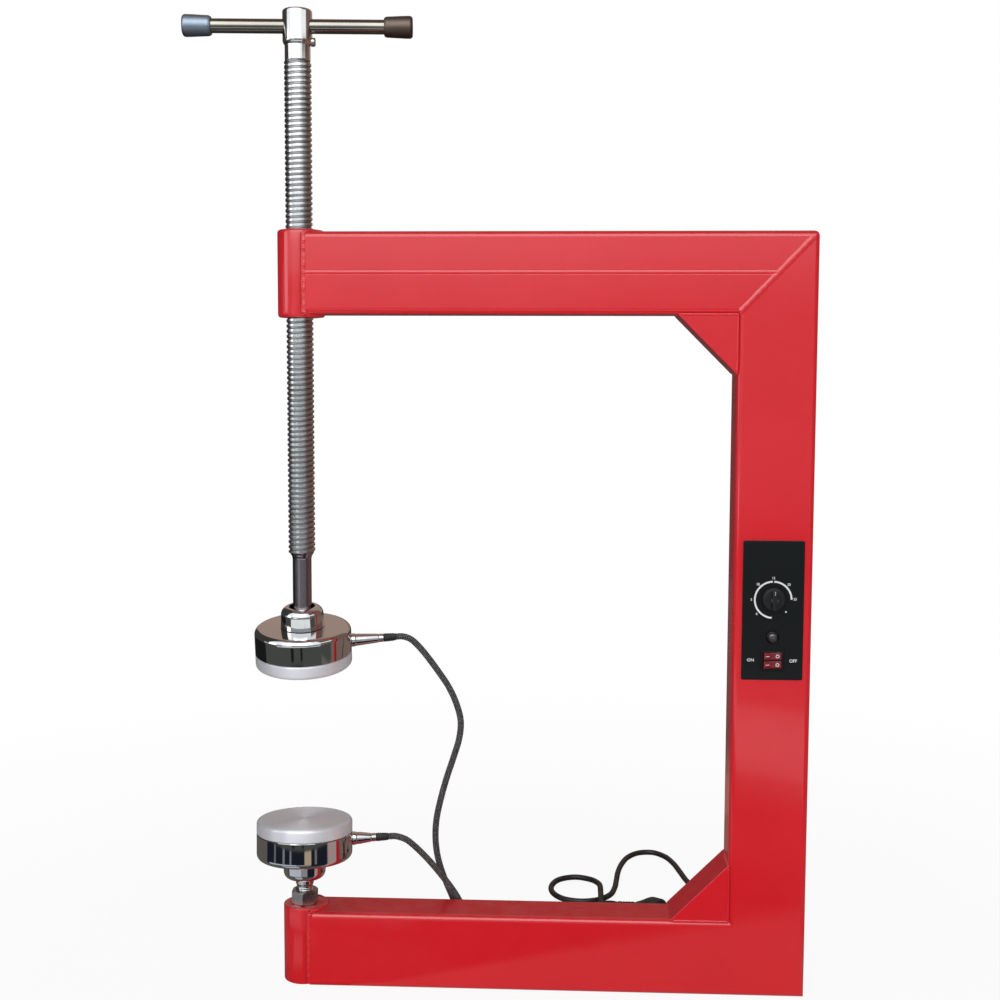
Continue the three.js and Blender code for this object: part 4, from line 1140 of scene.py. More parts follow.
@dataclass
class Weldment:
    """The C-frame: two stacked arm tubes, the column, the lower arm, gussets, bosses and welds."""

    height: float = 740.0
    right: float = 257.5
    face: float = 75.0
    half_depth: float = 25.0
    corner: float = 5.5
    outer_corner: float = 6.5
    seam_corner: float = 2.2
    upper_tube: float = 39.0
    boss_radius: float = 21.0
    arm_start: float = -228.5
    gusset_leg: float = 56.0
    window: tuple[float, float] = (46.0, 122.0)
    panel_z: float = 381.8

    @property
    def column_left(self) -> float:
        """X of the column's inner face."""
        return self.right - self.face

    @property
    def arm_bottom(self) -> float:
        """Z of the upper arm's underside."""
        return self.height - 2 * self.upper_tube

    def boss_tool(self) -> Piece:
        """Makes the tool that copes an arm round its boss."""
        tool = Workbench.turned("BossTool", [(0, -20), (self.boss_radius - 0.1, -20),
                                             (self.boss_radius - 0.1, 780), (0, 780)], steps=64)
        return Workbench.put(tool, moved(SCREW_X))

    def arm(self, name: str, low: float, high: float, seam_side: int) -> Piece:
        """Makes one arm tube.

        Args:
            name: The piece's name.
            low: Z of its underside.
            high: Z of its top.
            seam_side: 1 where it lies on another tube, -1 where another lies on it, 0 for neither.

        Returns:
            The arm, square at the column's end.
        """
        piece = Workbench.block(name, (self.arm_start, -self.half_depth, low),
                                (self.right, self.half_depth, high))
        Workbench.take(piece)
        bpy.ops.object.mode_set(mode="EDIT")
        for seam in (False, True):
            bpy.ops.mesh.select_mode(type="EDGE")
            bpy.ops.mesh.select_all(action="DESELECT")
            mesh = bmesh.from_edit_mesh(piece.data)
            for edge in mesh.edges:
                ends = [vertex.co for vertex in edge.verts]
                lengthways = abs(ends[0].x - ends[1].x) > 0.3
                at_seam = (seam_side == 1 and abs(ends[0].z - low * MM) < 1e-5) or (
                    seam_side == -1 and abs(ends[0].z - high * MM) < 1e-5)
                beside = abs(abs(ends[0].y) - self.half_depth * MM) < 1e-5
                edge.select = lengthways and at_seam == seam and beside
            bmesh.update_edit_mesh(piece.data)
            if any(edge.select for edge in bmesh.from_edit_mesh(piece.data).edges):
                bpy.ops.mesh.bevel(offset=(self.seam_corner if seam else self.corner) * MM,
                                   segments=5, profile=0.5)
        bpy.ops.object.mode_set(mode="OBJECT")
        Workbench.braced(piece)
        return Workbench.combined(piece, self.boss_tool(), "DIFFERENCE")

    def rounded(self, piece: Piece, top: bool) -> None:
        """Rounds a tube's outer end at a mitre, as seen from the front.

        Args:
            piece: The tube.
            top: Whether it is the upper corner, not the lower.
        """
        reach = self.outer_corner
        way = 1 if top else -1
        middle = (self.right - reach, self.height - reach if top else reach)
        for angle in (11.0, 28.0, 45.0, 62.0, 79.0):
            a = math.radians(angle)
            side = (math.cos(a), way * math.sin(a))
            at = (middle[0] + reach * side[0], 0.0, middle[1] + reach * side[1])
            Workbench.sliced(piece, at, Vector((side[0], 0, side[1])), Keep.BEHIND)

    def build_tubes(self) -> None:
        """Makes the arms and the column with their mitres."""
        upper = Vector((self.right - self.column_left, 0, self.height - self.arm_bottom)).normalized()
        upper_normal = Vector((upper.z, 0, -upper.x))
        corner = (self.column_left, 0.0, self.arm_bottom)
        lower = Vector((self.right - self.column_left, 0, -self.face)).normalized()
        lower_normal = Vector((-lower.z, 0, lower.x))
        foot = (self.column_left, 0.0, self.face)

        middle = self.arm_bottom + self.upper_tube
        top = self.arm("arm_tube_top", middle, self.height, 1)
        bottom = self.arm("arm_tube_bottom", self.arm_bottom, middle, -1)
        for piece, node in ((top, "upper_arm_top_tube"), (bottom, "upper_arm_bottom_tube")):
            Workbench.sliced(piece, corner, upper_normal, Keep.BEHIND)
            if piece is top:
                self.rounded(piece, True)
            fit(piece, Palette.RED, Body.FRAME, (node,))

        base = self.arm("base_arm_tube", 0.0, self.face, 0)
        Workbench.sliced(base, foot, lower_normal, Keep.BEHIND)
        fit(base, Palette.RED, Body.FRAME, ("lower_arm_tube",))

        column = Workbench.block("column_box_tube", (self.column_left, -self.half_depth, 0),
                                 (self.right, self.half_depth, self.height))
        Workbench.round_long_edges(column, Vector((0, 0, 1)), self.corner)
        Workbench.braced(column)
        Workbench.sliced(column, corner, upper_normal, Keep.FRONT)
        Workbench.sliced(column, foot, lower_normal, Keep.FRONT)
        self.rounded(column, True)
        wide, high = self.window
        middle_x = self.right - self.face / 2
        hole = Workbench.block("WindowTool", (middle_x - wide / 2, -40, self.panel_z - high / 2),
                               (middle_x + wide / 2, 20, self.panel_z + high / 2))
        Workbench.combined(column, hole, "DIFFERENCE")
        fit(column, Palette.RED, Body.FRAME, ("column_tube",))

    def build_gussets(self) -> None:
        """Makes the plate gussets in the two inner corners."""
        for name, corner_z, way, node in (("gusset_upper", self.arm_bottom, -1, "upper_gusset"),
                                          ("gusset_lower", self.face, 1, "lower_gusset")):
            x = self.column_left
            outline = [(x + 1, corner_z - way), (x - self.gusset_leg, corner_z - way),
                       (x - self.gusset_leg, corner_z + way * 0.4),
                       (x - 0.4, corner_z + way * self.gusset_leg),
                       (x + 1, corner_z + way * self.gusset_leg)]
            piece = Workbench.outline(name, outline, -self.half_depth + 0.3, self.half_depth - 0.3, 1.4, 3)
            fit(piece, Palette.RED, Body.FRAME, (node,))

    def build_bosses(self) -> None:
        """Makes the round bosses that carry the screw and the lower ball stud."""
        upper = Workbench.turned("press_boss", [
            (13.35, 659.1), (self.boss_radius, 659.1, 3.6), (self.boss_radius, 742.9, 3.6),
            (14.1, 742.9, 0.8), (13.35, 742.0), (13.35, 659.1)], steps=72, place=moved(SCREW_X))
        fit(upper, Palette.RED, Body.FRAME, ("screw_boss",))
        lower = Workbench.turned("base_boss", [
            (0, 0), (self.boss_radius, 0, 1.2), (self.boss_radius, 77, 1.4), (9.3, 77, 0.4),
            (9.3, 12), (0, 12)], steps=72, place=moved(SCREW_X))
        fit(lower, Palette.RED, Body.FRAME, ("stud_boss",))

    def ring_line(self, z: float, reach: float) -> list[Point]:
        """Gives the arc round a boss where it meets its arm.

        Args:
            z: Height of the arc.
            reach: Radius of the arc.

        Returns:
            Points of the arc.
        """
        count = 14
        angles = [math.radians(-66 + 132 * index / count) for index in range(count + 1)]
        return [(SCREW_X + reach * math.cos(a), reach * math.sin(a), z) for a in angles]

    def build_welds(self) -> None:
        """Lays the weld beads at the bosses, the mitre and the gussets."""
        edge = self.half_depth
        lines: list[tuple[str, list[Point], float, float]] = []
        for low, high, label in ((self.arm_bottom + 1, self.height - 1, "upper"),
                                 (2.5, self.face - 1, "lower")):
            for side in (-1, 1):
                where = "front" if side < 0 else "back"
                lines.append((f"weld_boss_{label}_{where}",
                              [(SCREW_X + 8.5, side * (edge - 3.2), low),
                               (SCREW_X + 8.5, side * (edge - 3.2), high)],
                              3.9, 0.05))
        lines.append(("weld_boss_arm_top", self.ring_line(self.height, self.boss_radius + 0.6), 2.6, 0.06))
        lines.append(("weld_boss_arm_under", self.ring_line(self.arm_bottom, self.boss_radius + 0.6), 2.6,
                      0.06))
        lines.append(("weld_boss_base_top", self.ring_line(self.face, self.boss_radius + 0.6), 2.6, 0.06))
        for side in (-1, 1):
            where = "front" if side < 0 else "back"
            y = side * (edge - 6.5)
            lines.append((f"weld_mitre_{where}",
                          [(self.column_left + 2, y, self.arm_bottom + 2),
                           (self.right - 6, y, self.height - 6.2)],
                          7.5, 0.008))
            seam_z = self.arm_bottom + self.upper_tube
            lines.append((f"seam_fill_{where}",
                          [(self.arm_start + 1.2, side * (edge - 5.4), seam_z),
                           (self.column_left + self.face / 2 - 1, side * (edge - 5.4), seam_z)], 6.0, 0.003))
        for label, corner_z, way in (("upper", self.arm_bottom, -1), ("lower", self.face, 1)):
            x = self.column_left
            tip = (x - self.gusset_leg + 1.6, corner_z + way * 0.6)
            toe = (x - 0.6, corner_z + way * (self.gusset_leg - 1.6))
            for where, (px, pz) in (("arm", tip), ("column", toe)):
                lines.append((f"weld_gusset_{label}_{where}",
                              [(px, -edge + 1.8, pz), (px, edge - 1.8, pz)], 1.1, 0.06))
            for side in (-1, 1):
                y = side * (edge - 0.7)
                face = "front" if side < 0 else "back"
                lines.append((f"weld_gusset_{label}_{face}",
                              [(x - self.gusset_leg + 3, y, corner_z), (x, y, corner_z),
                               (x, y, corner_z + way * (self.gusset_leg - 3))], 1.3, 0.06))
        for name, points, radius, heave in lines:
            fit(Workbench.bead(name, points, radius, heave), Palette.RED, Body.FRAME)

    def build(self) -> None:
        """Makes the whole weldment."""
        self.build_tubes()
        self.build_gussets()
        self.build_bosses()
        self.build_welds()


@dataclass
class PressScrew:
    """The screw with its ball end, the hub on its top and the sliding cross bar."""

    crest: float = 13.0
    root: float = 11.8
    pitch: float = 5.0
    bottom: float = 430.5
    top: float = 901.2
    shank: float = 9.25
    hub_foot: float = 901.5
    bar_rise: float = 33.1
    bar_radius: float = 6.8
    bar_half: float = 109.2
    bar_shift: float = 0.5
    turn: float = math.radians(4.0)

    def build_thread(self) -> None:
        """Winds the trapezoidal thread with a Screw modifier and closes its ends."""
        start = self.bottom - self.pitch
        shares = ((0.0, self.root), (0.20, self.root), (0.34, self.crest - 0.3), (0.39, self.crest),
                  (0.80, self.crest), (0.86, self.crest - 0.3), (1.0, self.root))
        line = [(radius, 0.0, start + share * self.pitch) for share, radius in shares]
        piece = Workbench.start_point("screw_thread", line[0])
        Workbench.extrude_along(line)
        bpy.ops.object.mode_set(mode="OBJECT")
        bpy.ops.object.modifier_add(type="SCREW")
        screw = piece.modifiers[-1]
        screw.axis = "Z"
        screw.angle = math.tau
        screw.screw_offset = self.pitch * MM
        screw.iterations = math.ceil((self.top - self.bottom) / self.pitch) + 2
        screw.steps = 28
        screw.render_steps = 28
        bpy.ops.object.modifier_apply(modifier=screw.name)
        bpy.ops.object.mode_set(mode="EDIT")
        Workbench.tidy()
        Workbench.sliced(piece, (0, 0, self.bottom), Vector((0, 0, 1)), Keep.FRONT)
        Workbench.sliced(piece, (0, 0, self.top), Vector((0, 0, 1)), Keep.BEHIND)
        Workbench.put(piece, moved(SCREW_X))
        fit(piece, Palette.THREAD, Body.SPINDLE, ("press_screw",))

    def build_shank(self) -> None:
        """Turns the smooth shank, its shoulder under the thread and the ball."""
        ball = 13.0
        meets = math.degrees(math.asin(self.shank / ball))
        end = arc((0.0, UPPER_BALL_Z), ball, -90, 90 - meets, 16)
        end[0] = (0.0, UPPER_BALL_Z - ball)
        profile = end + [(self.shank, UPPER_BALL_Z + 22), (self.shank, self.bottom - 5.5, 1.5),
                         (self.shank + 0.9, self.bottom - 3.0), (11.6, self.bottom - 0.6),
                         (11.6, self.bottom + 1.5),
                         (0, self.bottom + 1.5)]
        shank = Workbench.turned("screw_shank", profile, steps=56, place=moved(SCREW_X))
        fit(shank, Palette.SHANK, Body.SPINDLE, ("press_screw",))

    def build_handle(self) -> None:
        """Turns the hub, its grub screw, the cross bar and its caps."""
        handle = moved(SCREW_X, 0, self.hub_foot) @ Matrix.Rotation(self.turn, 4, "Z")
        hub = Workbench.turned("hub_body", [
            (0, 0.1), (11.9, 0.1, 0.5), (12.3, 1.2, 0.5), (12.3, 15.4, 0.8), (13.2, 16.3, 0.5),
            (14.2, 18.4, 1.2),
            (14.2, 47.0, 1.2), (12.7, 48.5, 0.7), (6.0, 48.5, 1.0), (5.0, 47.7, 0.5), (0, 47.4)], steps=72)
        bore = Workbench.turned("BoreTool", [(0, -40), (7.0, -40), (7.0, 40), (0, 40)], steps=48,
                                place=moved(z=self.bar_rise) @ ALONG_X)
        Workbench.combined(hub, bore, "DIFFERENCE")
        Workbench.put(hub, handle)
        fit(hub, Palette.HUB_CHROME, Body.SPINDLE, ("handle_hub",))

        grub = Workbench.turned("hub_grub", [
            (0, 9.0), (2.6, 9.0), (2.6, 12.9), (4.2, 13.0, 0.3), (4.2, 16.2, 0.9), (3.3, 17.1, 0.4),
            (1.7, 17.1, 0.2),
            (1.6, 15.2), (0, 15.1)], steps=36, place=handle @ moved(z=18.5) @ ALONG_X)
        fit(grub, Palette.NUT, Body.SPINDLE, ("hub_grub_screw",))

        bar_place = handle @ moved(self.bar_shift, 0, self.bar_rise) @ ALONG_X
        inner = self.bar_half - 6.3
        bar = Workbench.turned("sliding_bar", [
            (0, -inner), (self.bar_radius, -inner, 0.5), (self.bar_radius, inner, 0.5), (0, inner)],
            steps=56, place=bar_place)
        fit(bar, Palette.BAR, Body.BAR, ("cross_bar",))
        for side, label, node in ((-1, "left", "bar_cap_left"), (1, "right", "bar_cap_right")):
            start, end = self.bar_half - 27.0, self.bar_half
            profile = [(6.95, start), (8.5, start, 0.5), (9.6, start + 2.2, 0.8), (9.9, start + 9.0, 1.0),
                       (10.4, start + 20.0, 1.0), (10.5, end - 1.9, 1.0), (9.0, end, 0.7), (4.0, end, 0.8),
                       (3.4, end - 0.7, 0.4), (0, end - 0.9)]
            if side < 0:
                profile = [(spot[0], -spot[1], *spot[2:]) for spot in profile]
            cap = Workbench.turned(f"bar_end_{label}", profile, steps=64, place=bar_place)
            # The left cap takes the painted blue reflection, the right one the painted brown reflection.
            finish = Palette.CAP_PAINTED_BLUE_REFLECTION if side < 0 else Palette.CAP_PAINTED_BROWN_REFLECTION
            fit(cap, finish, Body.BAR, (node,))

    def build(self) -> None:
        """Makes the screw and its handle."""
        self.build_thread()
        self.build_shank()
        self.build_handle()


@dataclass
class HeatingHead:
    """One heated head, with its ball centre at the origin and its plate below."""

    prefix: str
    body: Body
    place: Matrix
    sleeve_length: float
    sleeve_rise: float
    sleeve_way: int
    radius: float = 47.5
    face: float = -43.5
    plate: float = 13.5
    plate_edge: float = 4.0
    side: float = 20.0
    edge: float = 6.0
    socket: float = 21.6
    socket_height: float = 20.4
    socket_edge: float = 7.9
    socket_draft: float = 0.75
    sleeve_turn: float = math.radians(15.0)

    def build_plate(self) -> None:
        """Turns the aluminium plate with its rounded face edge and a fine step at the cover."""
        top = self.face + self.plate
        plate = Workbench.turned(f"{self.prefix}_plate_disc", [
            (0, self.face), (self.radius - self.plate_edge, self.face, 0.2),
            *arc((self.radius - self.plate_edge, self.face + self.plate_edge), self.plate_edge, -90, 0,
                 8)[1:],
            (self.radius, top - 0.9, 0.3), (self.radius - 0.7, top, 0.3), (0, top)],
            steps=96, place=self.place)
        fit(plate, Palette.PLATE, self.body, (f"{self.prefix}_heating_plate",))

    def build_cover(self) -> None:
        """Turns the chromed pan that covers the plate and the socket over the ball."""
        foot = self.face + self.plate + 0.3
        shoulder = foot + self.side
        rim = self.radius - self.edge
        top = shoulder + self.edge
        cover = Workbench.turned(f"{self.prefix}_cover_shell", [
            (self.radius - 2.0, foot), (self.radius - 0.4, foot), (self.radius, foot + 0.5),
            *arc((rim, shoulder), self.edge, 0, 90, 14), (20.8, top, 0.2), (20.4, top - 0.3),
            (20.4, top - 2.0),
            *arc((rim, shoulder), self.edge - 2.0, 90, 0, 8), (self.radius - 2.0, foot)],
            steps=96, place=self.place)
        fit(cover, Palette.CHROME, self.body, (f"{self.prefix}_head_cover",))

        seat = top + 0.3
        crest = seat + self.socket_height
        centre = (self.socket - self.socket_draft - self.socket_edge, crest - self.socket_edge)
        cap = Workbench.turned(f"{self.prefix}_ball_collar", [
            (20.35, seat), (self.socket - 0.3, seat), (self.socket, seat + 0.3),
            *arc(centre, self.socket_edge, 0, 90, 12), (12.9, crest, 0.2), (12.8, crest - 0.4),
            *arc((0, 0), 13.4, 31.7, 3.4, 6), (20.35, 0.8), (20.35, seat)],
            steps=80, place=self.place)
        fit(cap, Palette.CHROME, self.body, (f"{self.prefix}_ball_cap",))

    def build_sleeve(self) -> None:
        """Turns the tapered cable sleeve with its crimp ring, and the rubber boot."""
        root = self.radius + 0.3
        end = root + self.sleeve_length
        way = Matrix.Rotation(self.sleeve_way * self.sleeve_turn, 4, "Z")
        place = self.place @ way @ moved(z=self.face + self.sleeve_rise) @ ALONG_X
        sleeve = Workbench.turned(f"{self.prefix}_cable_socket", [
            (2.1, root - 3.4), (4.9, root - 3.4), (4.9, root - 0.6), (6.6, root - 0.4, 0.3),
            (6.6, root + 3.0, 0.5),
            (6.1, root + 3.8, 0.3), (5.9, root + 8.0), (4.5, end - 6.0, 0.4), (4.2, end - 5.0, 0.2),
            (4.2, end - 0.6, 0.3), (3.6, end, 0.2), (2.1, end), (2.1, root - 3.4)], steps=48, place=place)
        fit(sleeve, Palette.CHROME, self.body, (f"{self.prefix}_cable_sleeve",))
        start = end + 0.3
        ribs = [(4.35 - 0.05 * index + (0.0 if index % 2 else -0.35), start + 0.8 + 1.15 * index, 0.2)
                for index in range(9)]
        boot = Workbench.turned(f"{self.prefix}_lead_boot", [
            (2.1, start), (4.2, start, 0.3), *ribs, (3.6, start + 12.0, 0.3), (2.1, start + 12.0),
            (2.1, start)],
            steps=40, place=place)
        fit(boot, Palette.RUBBER, self.body, (f"{self.prefix}_cable_boot",))

    def build(self) -> None:
        """Makes the head and dresses the solids inside it."""
        self.build_plate()
        self.build_cover()
        self.build_sleeve()
        inside = {
            "pedestal": Palette.SATIN, "bearing_cup": Palette.BRONZE, "heating_element": Palette.MICA,
            "insulation": Palette.BOARD, "thermostat": Palette.HOUSING,
        }
        for node, finish in inside.items():
            dress(f"{self.prefix}_{node}", finish)


@dataclass
class BallStud:
    """The lower ball stud and its lock nut."""

    boss_top: float = 77.0
    ball: float = 13.0
    radius: float = 9.0
    foot: float = 19.0
    nut_flats: float = 24.0
    nut_height: float = 13.0

    def build(self) -> None:
        """Makes the stud, with a visible thread at its root, and the nut."""
        meets = math.degrees(math.asin(self.radius / self.ball))
        end = arc((0.0, LOWER_BALL_Z), self.ball, meets - 90, 90, 16)
        end[-1] = (0.0, LOWER_BALL_Z + self.ball)
        grooves = []
        for index in range(8):
            z = self.boss_top + 1.0 + 1.9 * index
            grooves += [(8.1, z), (8.95, z + 0.95)]
        stud = Workbench.turned("ball_end_stud", [
            (0, self.foot), (self.radius - 1.2, self.foot), (self.radius - 0.4, self.foot + 1.5),
            (self.radius - 0.4, self.boss_top), *grooves, (8.1, 93.2, 0.4), (8.1, 95.4, 0.7),
            (9.0, 97.0, 0.5), *end],
            steps=56, place=moved(SCREW_X))
        fit(stud, Palette.HUB_CHROME, Body.FRAME, ("ball_stud",))

        foot = self.boss_top + 0.3
        nut = Workbench.hexagon("lock_nut", self.nut_flats, foot, self.nut_height)
        barrel = Workbench.turned("NutTool", [
            (9.25, foot - 1), (12.0, foot - 1), (12.4, foot), (14.0, foot + 1.6),
            (14.0, foot + self.nut_height - 1.6),
            (12.4, foot + self.nut_height), (12.0, foot + self.nut_height + 1),
            (9.25, foot + self.nut_height + 1),
            (9.25, foot - 1)], steps=48)
        Workbench.combined(nut, barrel, "INTERSECT")
        Workbench.bevelled(nut, 0.35, 2)
        Workbench.put(nut, moved(SCREW_X))
        fit(nut, Palette.NUT, Body.FRAME, ("stud_lock_nut",))


@dataclass
class ControlPanel:
    """The plate on the column with its dial, knob, lamp and twin rocker switch."""

    x: float = 220.0
    z: float = 381.8
    width: float = 58.0
    height: float = 134.0
    face: float = -26.5
    dial_z: float = 393.2
    lamp_z: float = 356.4
    switch_z: float = 334.0
    arc_radius: float = 17.4
    arc_drop: float = 0.9
    arc_width: float = 1.7
    rocker_pitch: float = 8.2
    labels: list[tuple[str, float, float]] = field(default_factory=lambda: [
        ("15", 90.0, 2.3), ("10", 135.0, 2.3), ("5", 180.0, 2.3), ("0", 222.0, 2.3), ("20", 45.0, 2.3),
        ("25", 2.0, 2.3)])

    def build_plate(self) -> None:
        """Makes the plate with its softened rim."""
        low = (self.x - self.width / 2, self.face, self.z - self.height / 2)
        high = (self.x + self.width / 2, -25.0, self.z + self.height / 2)
        plate = Workbench.block("panel_plate", low, high)
        Workbench.round_long_edges(plate, Vector((0, 1, 0)), 1.6)
        Workbench.bevelled(plate, 0.5, 3)
        pocket = Workbench.block("PocketTool", (self.x - 9.9, -30, self.switch_z - 8.6),
                                 (self.x + 9.9, -20, self.switch_z + 8.6))
        Workbench.combined(plate, pocket, "DIFFERENCE")
        fit(plate, Palette.PANEL, Body.FRAME, ("control_panel",))

    def sector(self, name: str, start: float, end: float) -> Piece:
        """Makes one stretch of the dial's printed arc.

        Args:
            name: The piece's name.
            start: First angle in degrees, from three o'clock, counterclockwise.
            end: Last angle.

        Returns:
            The stretch.
        """
        count = max(8, round((end - start) / 6))
        angles = [math.radians(start + (end - start) * index / count) for index in range(count + 1)]
        outer = self.arc_radius + self.arc_width / 2
        inner = self.arc_radius - self.arc_width / 2
        middle = self.dial_z - self.arc_drop
        points = [(self.x + outer * math.cos(a), middle + outer * math.sin(a)) for a in angles]
        points += [(self.x + inner * math.cos(a), middle + inner * math.sin(a)) for a in reversed(angles)]
        return Workbench.outline(name, points, self.face - 0.06, self.face + 0.02)

    def build_print(self) -> None:
        """Prints the dial's arc and numbers, and the switch's words."""
        marks = [self.sector("dial_arc_right", 1.0, 87.5), self.sector("dial_arc_left", 92.5, 266.0)]
        for words, angle, size in self.labels:
            a = math.radians(angle)
            reach = self.arc_radius + 3.3
            place = moved(self.x + reach * math.cos(a), self.face - 0.03,
                          self.dial_z - self.arc_drop + reach * math.sin(a))
            marks.append(Workbench.lettering(f"dial_number_{words}", words, size, place))
        marks.append(Workbench.turned("dial_dot", [(0, -0.02), (0.8, -0.02), (0.8, 0.06), (0, 0.06)],
                                      steps=24,
                                      place=moved(self.x + 12.3, self.face, self.dial_z - 12.4) @ TO_FRONT))
        marks.append(Workbench.lettering("word_on", "ON", 3.0,
                                         moved(self.x - 20.4, self.face - 0.03, self.switch_z)))
        marks.append(Workbench.lettering("word_off", "OFF", 3.0,
                                         moved(self.x + 20.0, self.face - 0.03, self.switch_z - 0.6)))
        printed = Workbench.joined("panel_print", *marks)
        fit(printed, Palette.INK, Body.FRAME)

    def build_knob(self) -> None:
        """Makes the timer knob: a turned skirt with a grip bar across it."""
        place = moved(self.x, self.face, self.dial_z) @ TO_FRONT
        body = Workbench.turned("knob_body", [
            (9.0, 0.5), (11.2, 0.5, 0.3), (11.3, 1.4, 0.3), (11.0, 4.4, 0.5), (10.4, 7.5, 0.9), (3.0, 7.9),
            (0, 7.9), (0, 6.4), (9.0, 6.4, 0.4), (9.0, 0.5)], steps=80)
        grip = Workbench.block("knob_grip", (-2.5, -9.6, 7.0), (2.5, 9.6, 14.4), 1.1, 4)
        pointer = Workbench.block("knob_pointer", (-0.35, 5.2, 14.3), (0.35, 9.0, 14.5), 0.1, 2)
        knob = Workbench.joined("timer_grip", body, grip)
        Workbench.put(knob, place)
        fit(knob, Palette.KNOB, Body.KNOB, ("timer_knob",))
        Workbench.put(pointer, place)
        fit(pointer, Palette.GREY, Body.KNOB)

    def build_lamp(self) -> None:
        """Makes the pilot lamp's bezel and lens."""
        place = moved(self.x, self.face, self.lamp_z) @ TO_FRONT
        bezel = Workbench.turned("lamp_ring", [
            (4.35, 0.0), (6.2, 0.0, 0.3), (6.2, 1.1, 0.5), (5.2, 2.4, 0.4), (4.6, 2.4, 0.2), (4.35, 1.6),
            (4.35, 0.0)],
            steps=64, place=place)
        fit(bezel, Palette.LAMP_RING, Body.FRAME, ("lamp_bezel",))
        dome = [(4.1 * math.cos(math.radians(a)),
                 1.9 + 2.0 * math.sin(math.radians(a))) for a in range(0, 90, 10)]
        lens = Workbench.turned("lamp_dome", [(0, 0.2), (4.2, 0.2), (4.2, 1.8), *dome, (0, 3.9)],
                                steps=56, place=place)
        fit(lens, Palette.LENS, Body.FRAME, ("lamp_lens",))

    def build_switch(self) -> None:
        """Makes the switch's housing with its two pockets, and the rockers with their marks."""
        rim = Workbench.block("switch_rim", (self.x - 11, self.face - 1.9, self.switch_z - 9.5),
                              (self.x + 11, self.face - 0.1, self.switch_z + 9.5), 0.6, 3)
        core = Workbench.block("switch_core", (self.x - 9.7, self.face - 1.0, self.switch_z - 8.4),
                               (self.x + 9.7, -8.0, self.switch_z + 8.4))
        Workbench.combined(rim, core, "UNION")
        for side in (-1, 1):
            middle = self.switch_z + side * self.rocker_pitch / 2
            tool = Workbench.block("RockerTool", (self.x - 9.15, -40, middle - 3.85),
                                   (self.x + 9.15, -20.4, middle + 3.85))
            Workbench.combined(rim, tool, "DIFFERENCE")
        rim.name = "switch_frame"
        fit(rim, Palette.HOUSING, Body.FRAME, ("switch_housing",))
        for label, side, body, node in (("upper", 1, Body.ROCKER_TOP, "rocker_upper"),
                                        ("lower", -1, Body.ROCKER_BOTTOM, "rocker_lower")):
            middle = self.switch_z + side * self.rocker_pitch / 2
            self.build_rocker(label, middle, body, node)

    def build_rocker(self, label: str, middle: float, body: Body, node: str) -> None:
        """Makes one rocker, tilted to off, with a dash and a ring on it.

        Args:
            label: Which rocker.
            middle: Z of its middle.
            body: The body that it rides on.
            node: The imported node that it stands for.
        """
        place = moved(self.x, self.face - 1.6, middle) @ Matrix.Rotation(math.radians(10), 4, "Z")
        half, rise = 8.8, 8.8 * math.tan(math.radians(10))
        face = [(-half, -rise), (-half * 0.55, -rise * 0.50), (0, 0.05), (half * 0.55, -rise * 0.50),
                (half, -rise)]
        back = [(half - 1.3, 3.8), (0, 4.6), (1.3 - half, 3.8)]
        piece = Workbench.outline(f"rocker_key_{label}", [(x, -y) for x, y in face + back], -3.5, 3.5,
                                  0.35, 2)
        Workbench.put(piece, place @ Matrix(((1, 0, 0, 0), (0, 0, -1, 0), (0, 1, 0, 0), (0, 0, 0, 1))))
        fit(piece, Palette.ROCKER, body, (node,))
        slope = math.atan2(rise, half)
        dash_place = place @ moved(-4.9, -0.92, 0) @ Matrix.Rotation(slope, 4, "Z")
        ring_place = place @ moved(4.9, -0.92, 0) @ Matrix.Rotation(-slope, 4, "Z")
        dash = Workbench.block("dash", (-1.9, -0.06, -0.3), (1.9, 0.02, 0.3))
        Workbench.put(dash, dash_place)
        ring = Workbench.turned("ring", [(1.15, -0.02), (1.75, -0.02), (1.75, 0.06), (1.15, 0.06),
                                         (1.15, -0.02)],
                                steps=32, place=ring_place @ TO_FRONT)
        marks = Workbench.joined(f"rocker_marks_{label}", dash, ring)
        fit(marks, Palette.INK, body)

    def build(self) -> None:
        """Makes the panel and dresses the solids behind it."""
        self.build_plate()
        self.build_print()
        self.build_knob()
        self.build_lamp()
        self.build_switch()
        for node, finish in (("timer_body", Palette.GREY), ("timer_nut", Palette.NUT),
                             ("timer_shaft", Palette.SATIN), ("lamp_body", Palette.GREY),
                             ("terminal_block", Palette.GREY)):
            dress(node, finish)


def smooth_line(points: Sequence[Point], step: float) -> list[Point]:
    """Runs one smooth curve through points, as a centripetal Catmull-Rom spline does.

    Args:
        points: The points that it passes through.
        step: Distance between the points of the result.

    Returns:
        Points along the curve.
    """
    knots = [Vector(point) for point in points]
    knots = [knots[0] * 2 - knots[1], *knots, knots[-1] * 2 - knots[-2]]
    line: list[Point] = []
    for a, b, c, d in zip(knots, knots[1:], knots[2:], knots[3:]):
        gaps = [max((q - p).length ** 0.5, 1e-4) for p, q in ((a, b), (b, c), (c, d))]
        leave = ((b - a) / gaps[0] - (c - a) / (gaps[0] + gaps[1]) + (c - b) / gaps[1]) * gaps[1]
        reach = ((c - b) / gaps[1] - (d - b) / (gaps[1] + gaps[2]) + (d - c) / gaps[2]) * gaps[1]
        count = max(2, round((c - b).length / step))
        for index in range(count):
            t = index / count
            spot = (b * (2 * t**3 - 3 * t**2 + 1) + leave * (t**3 - 2 * t**2 + t)
                    + c * (3 * t**2 - 2 * t**3) + reach * (t**3 - t**2))
            line.append(tuple(spot))
    line.append(tuple(knots[-2]))
    return line


def line_length(line: Sequence[Point]) -> float:
    """Gives the length of a line in metres."""
    return sum((Vector(b) - Vector(a)).length for a, b in zip(line, line[1:])) * MM


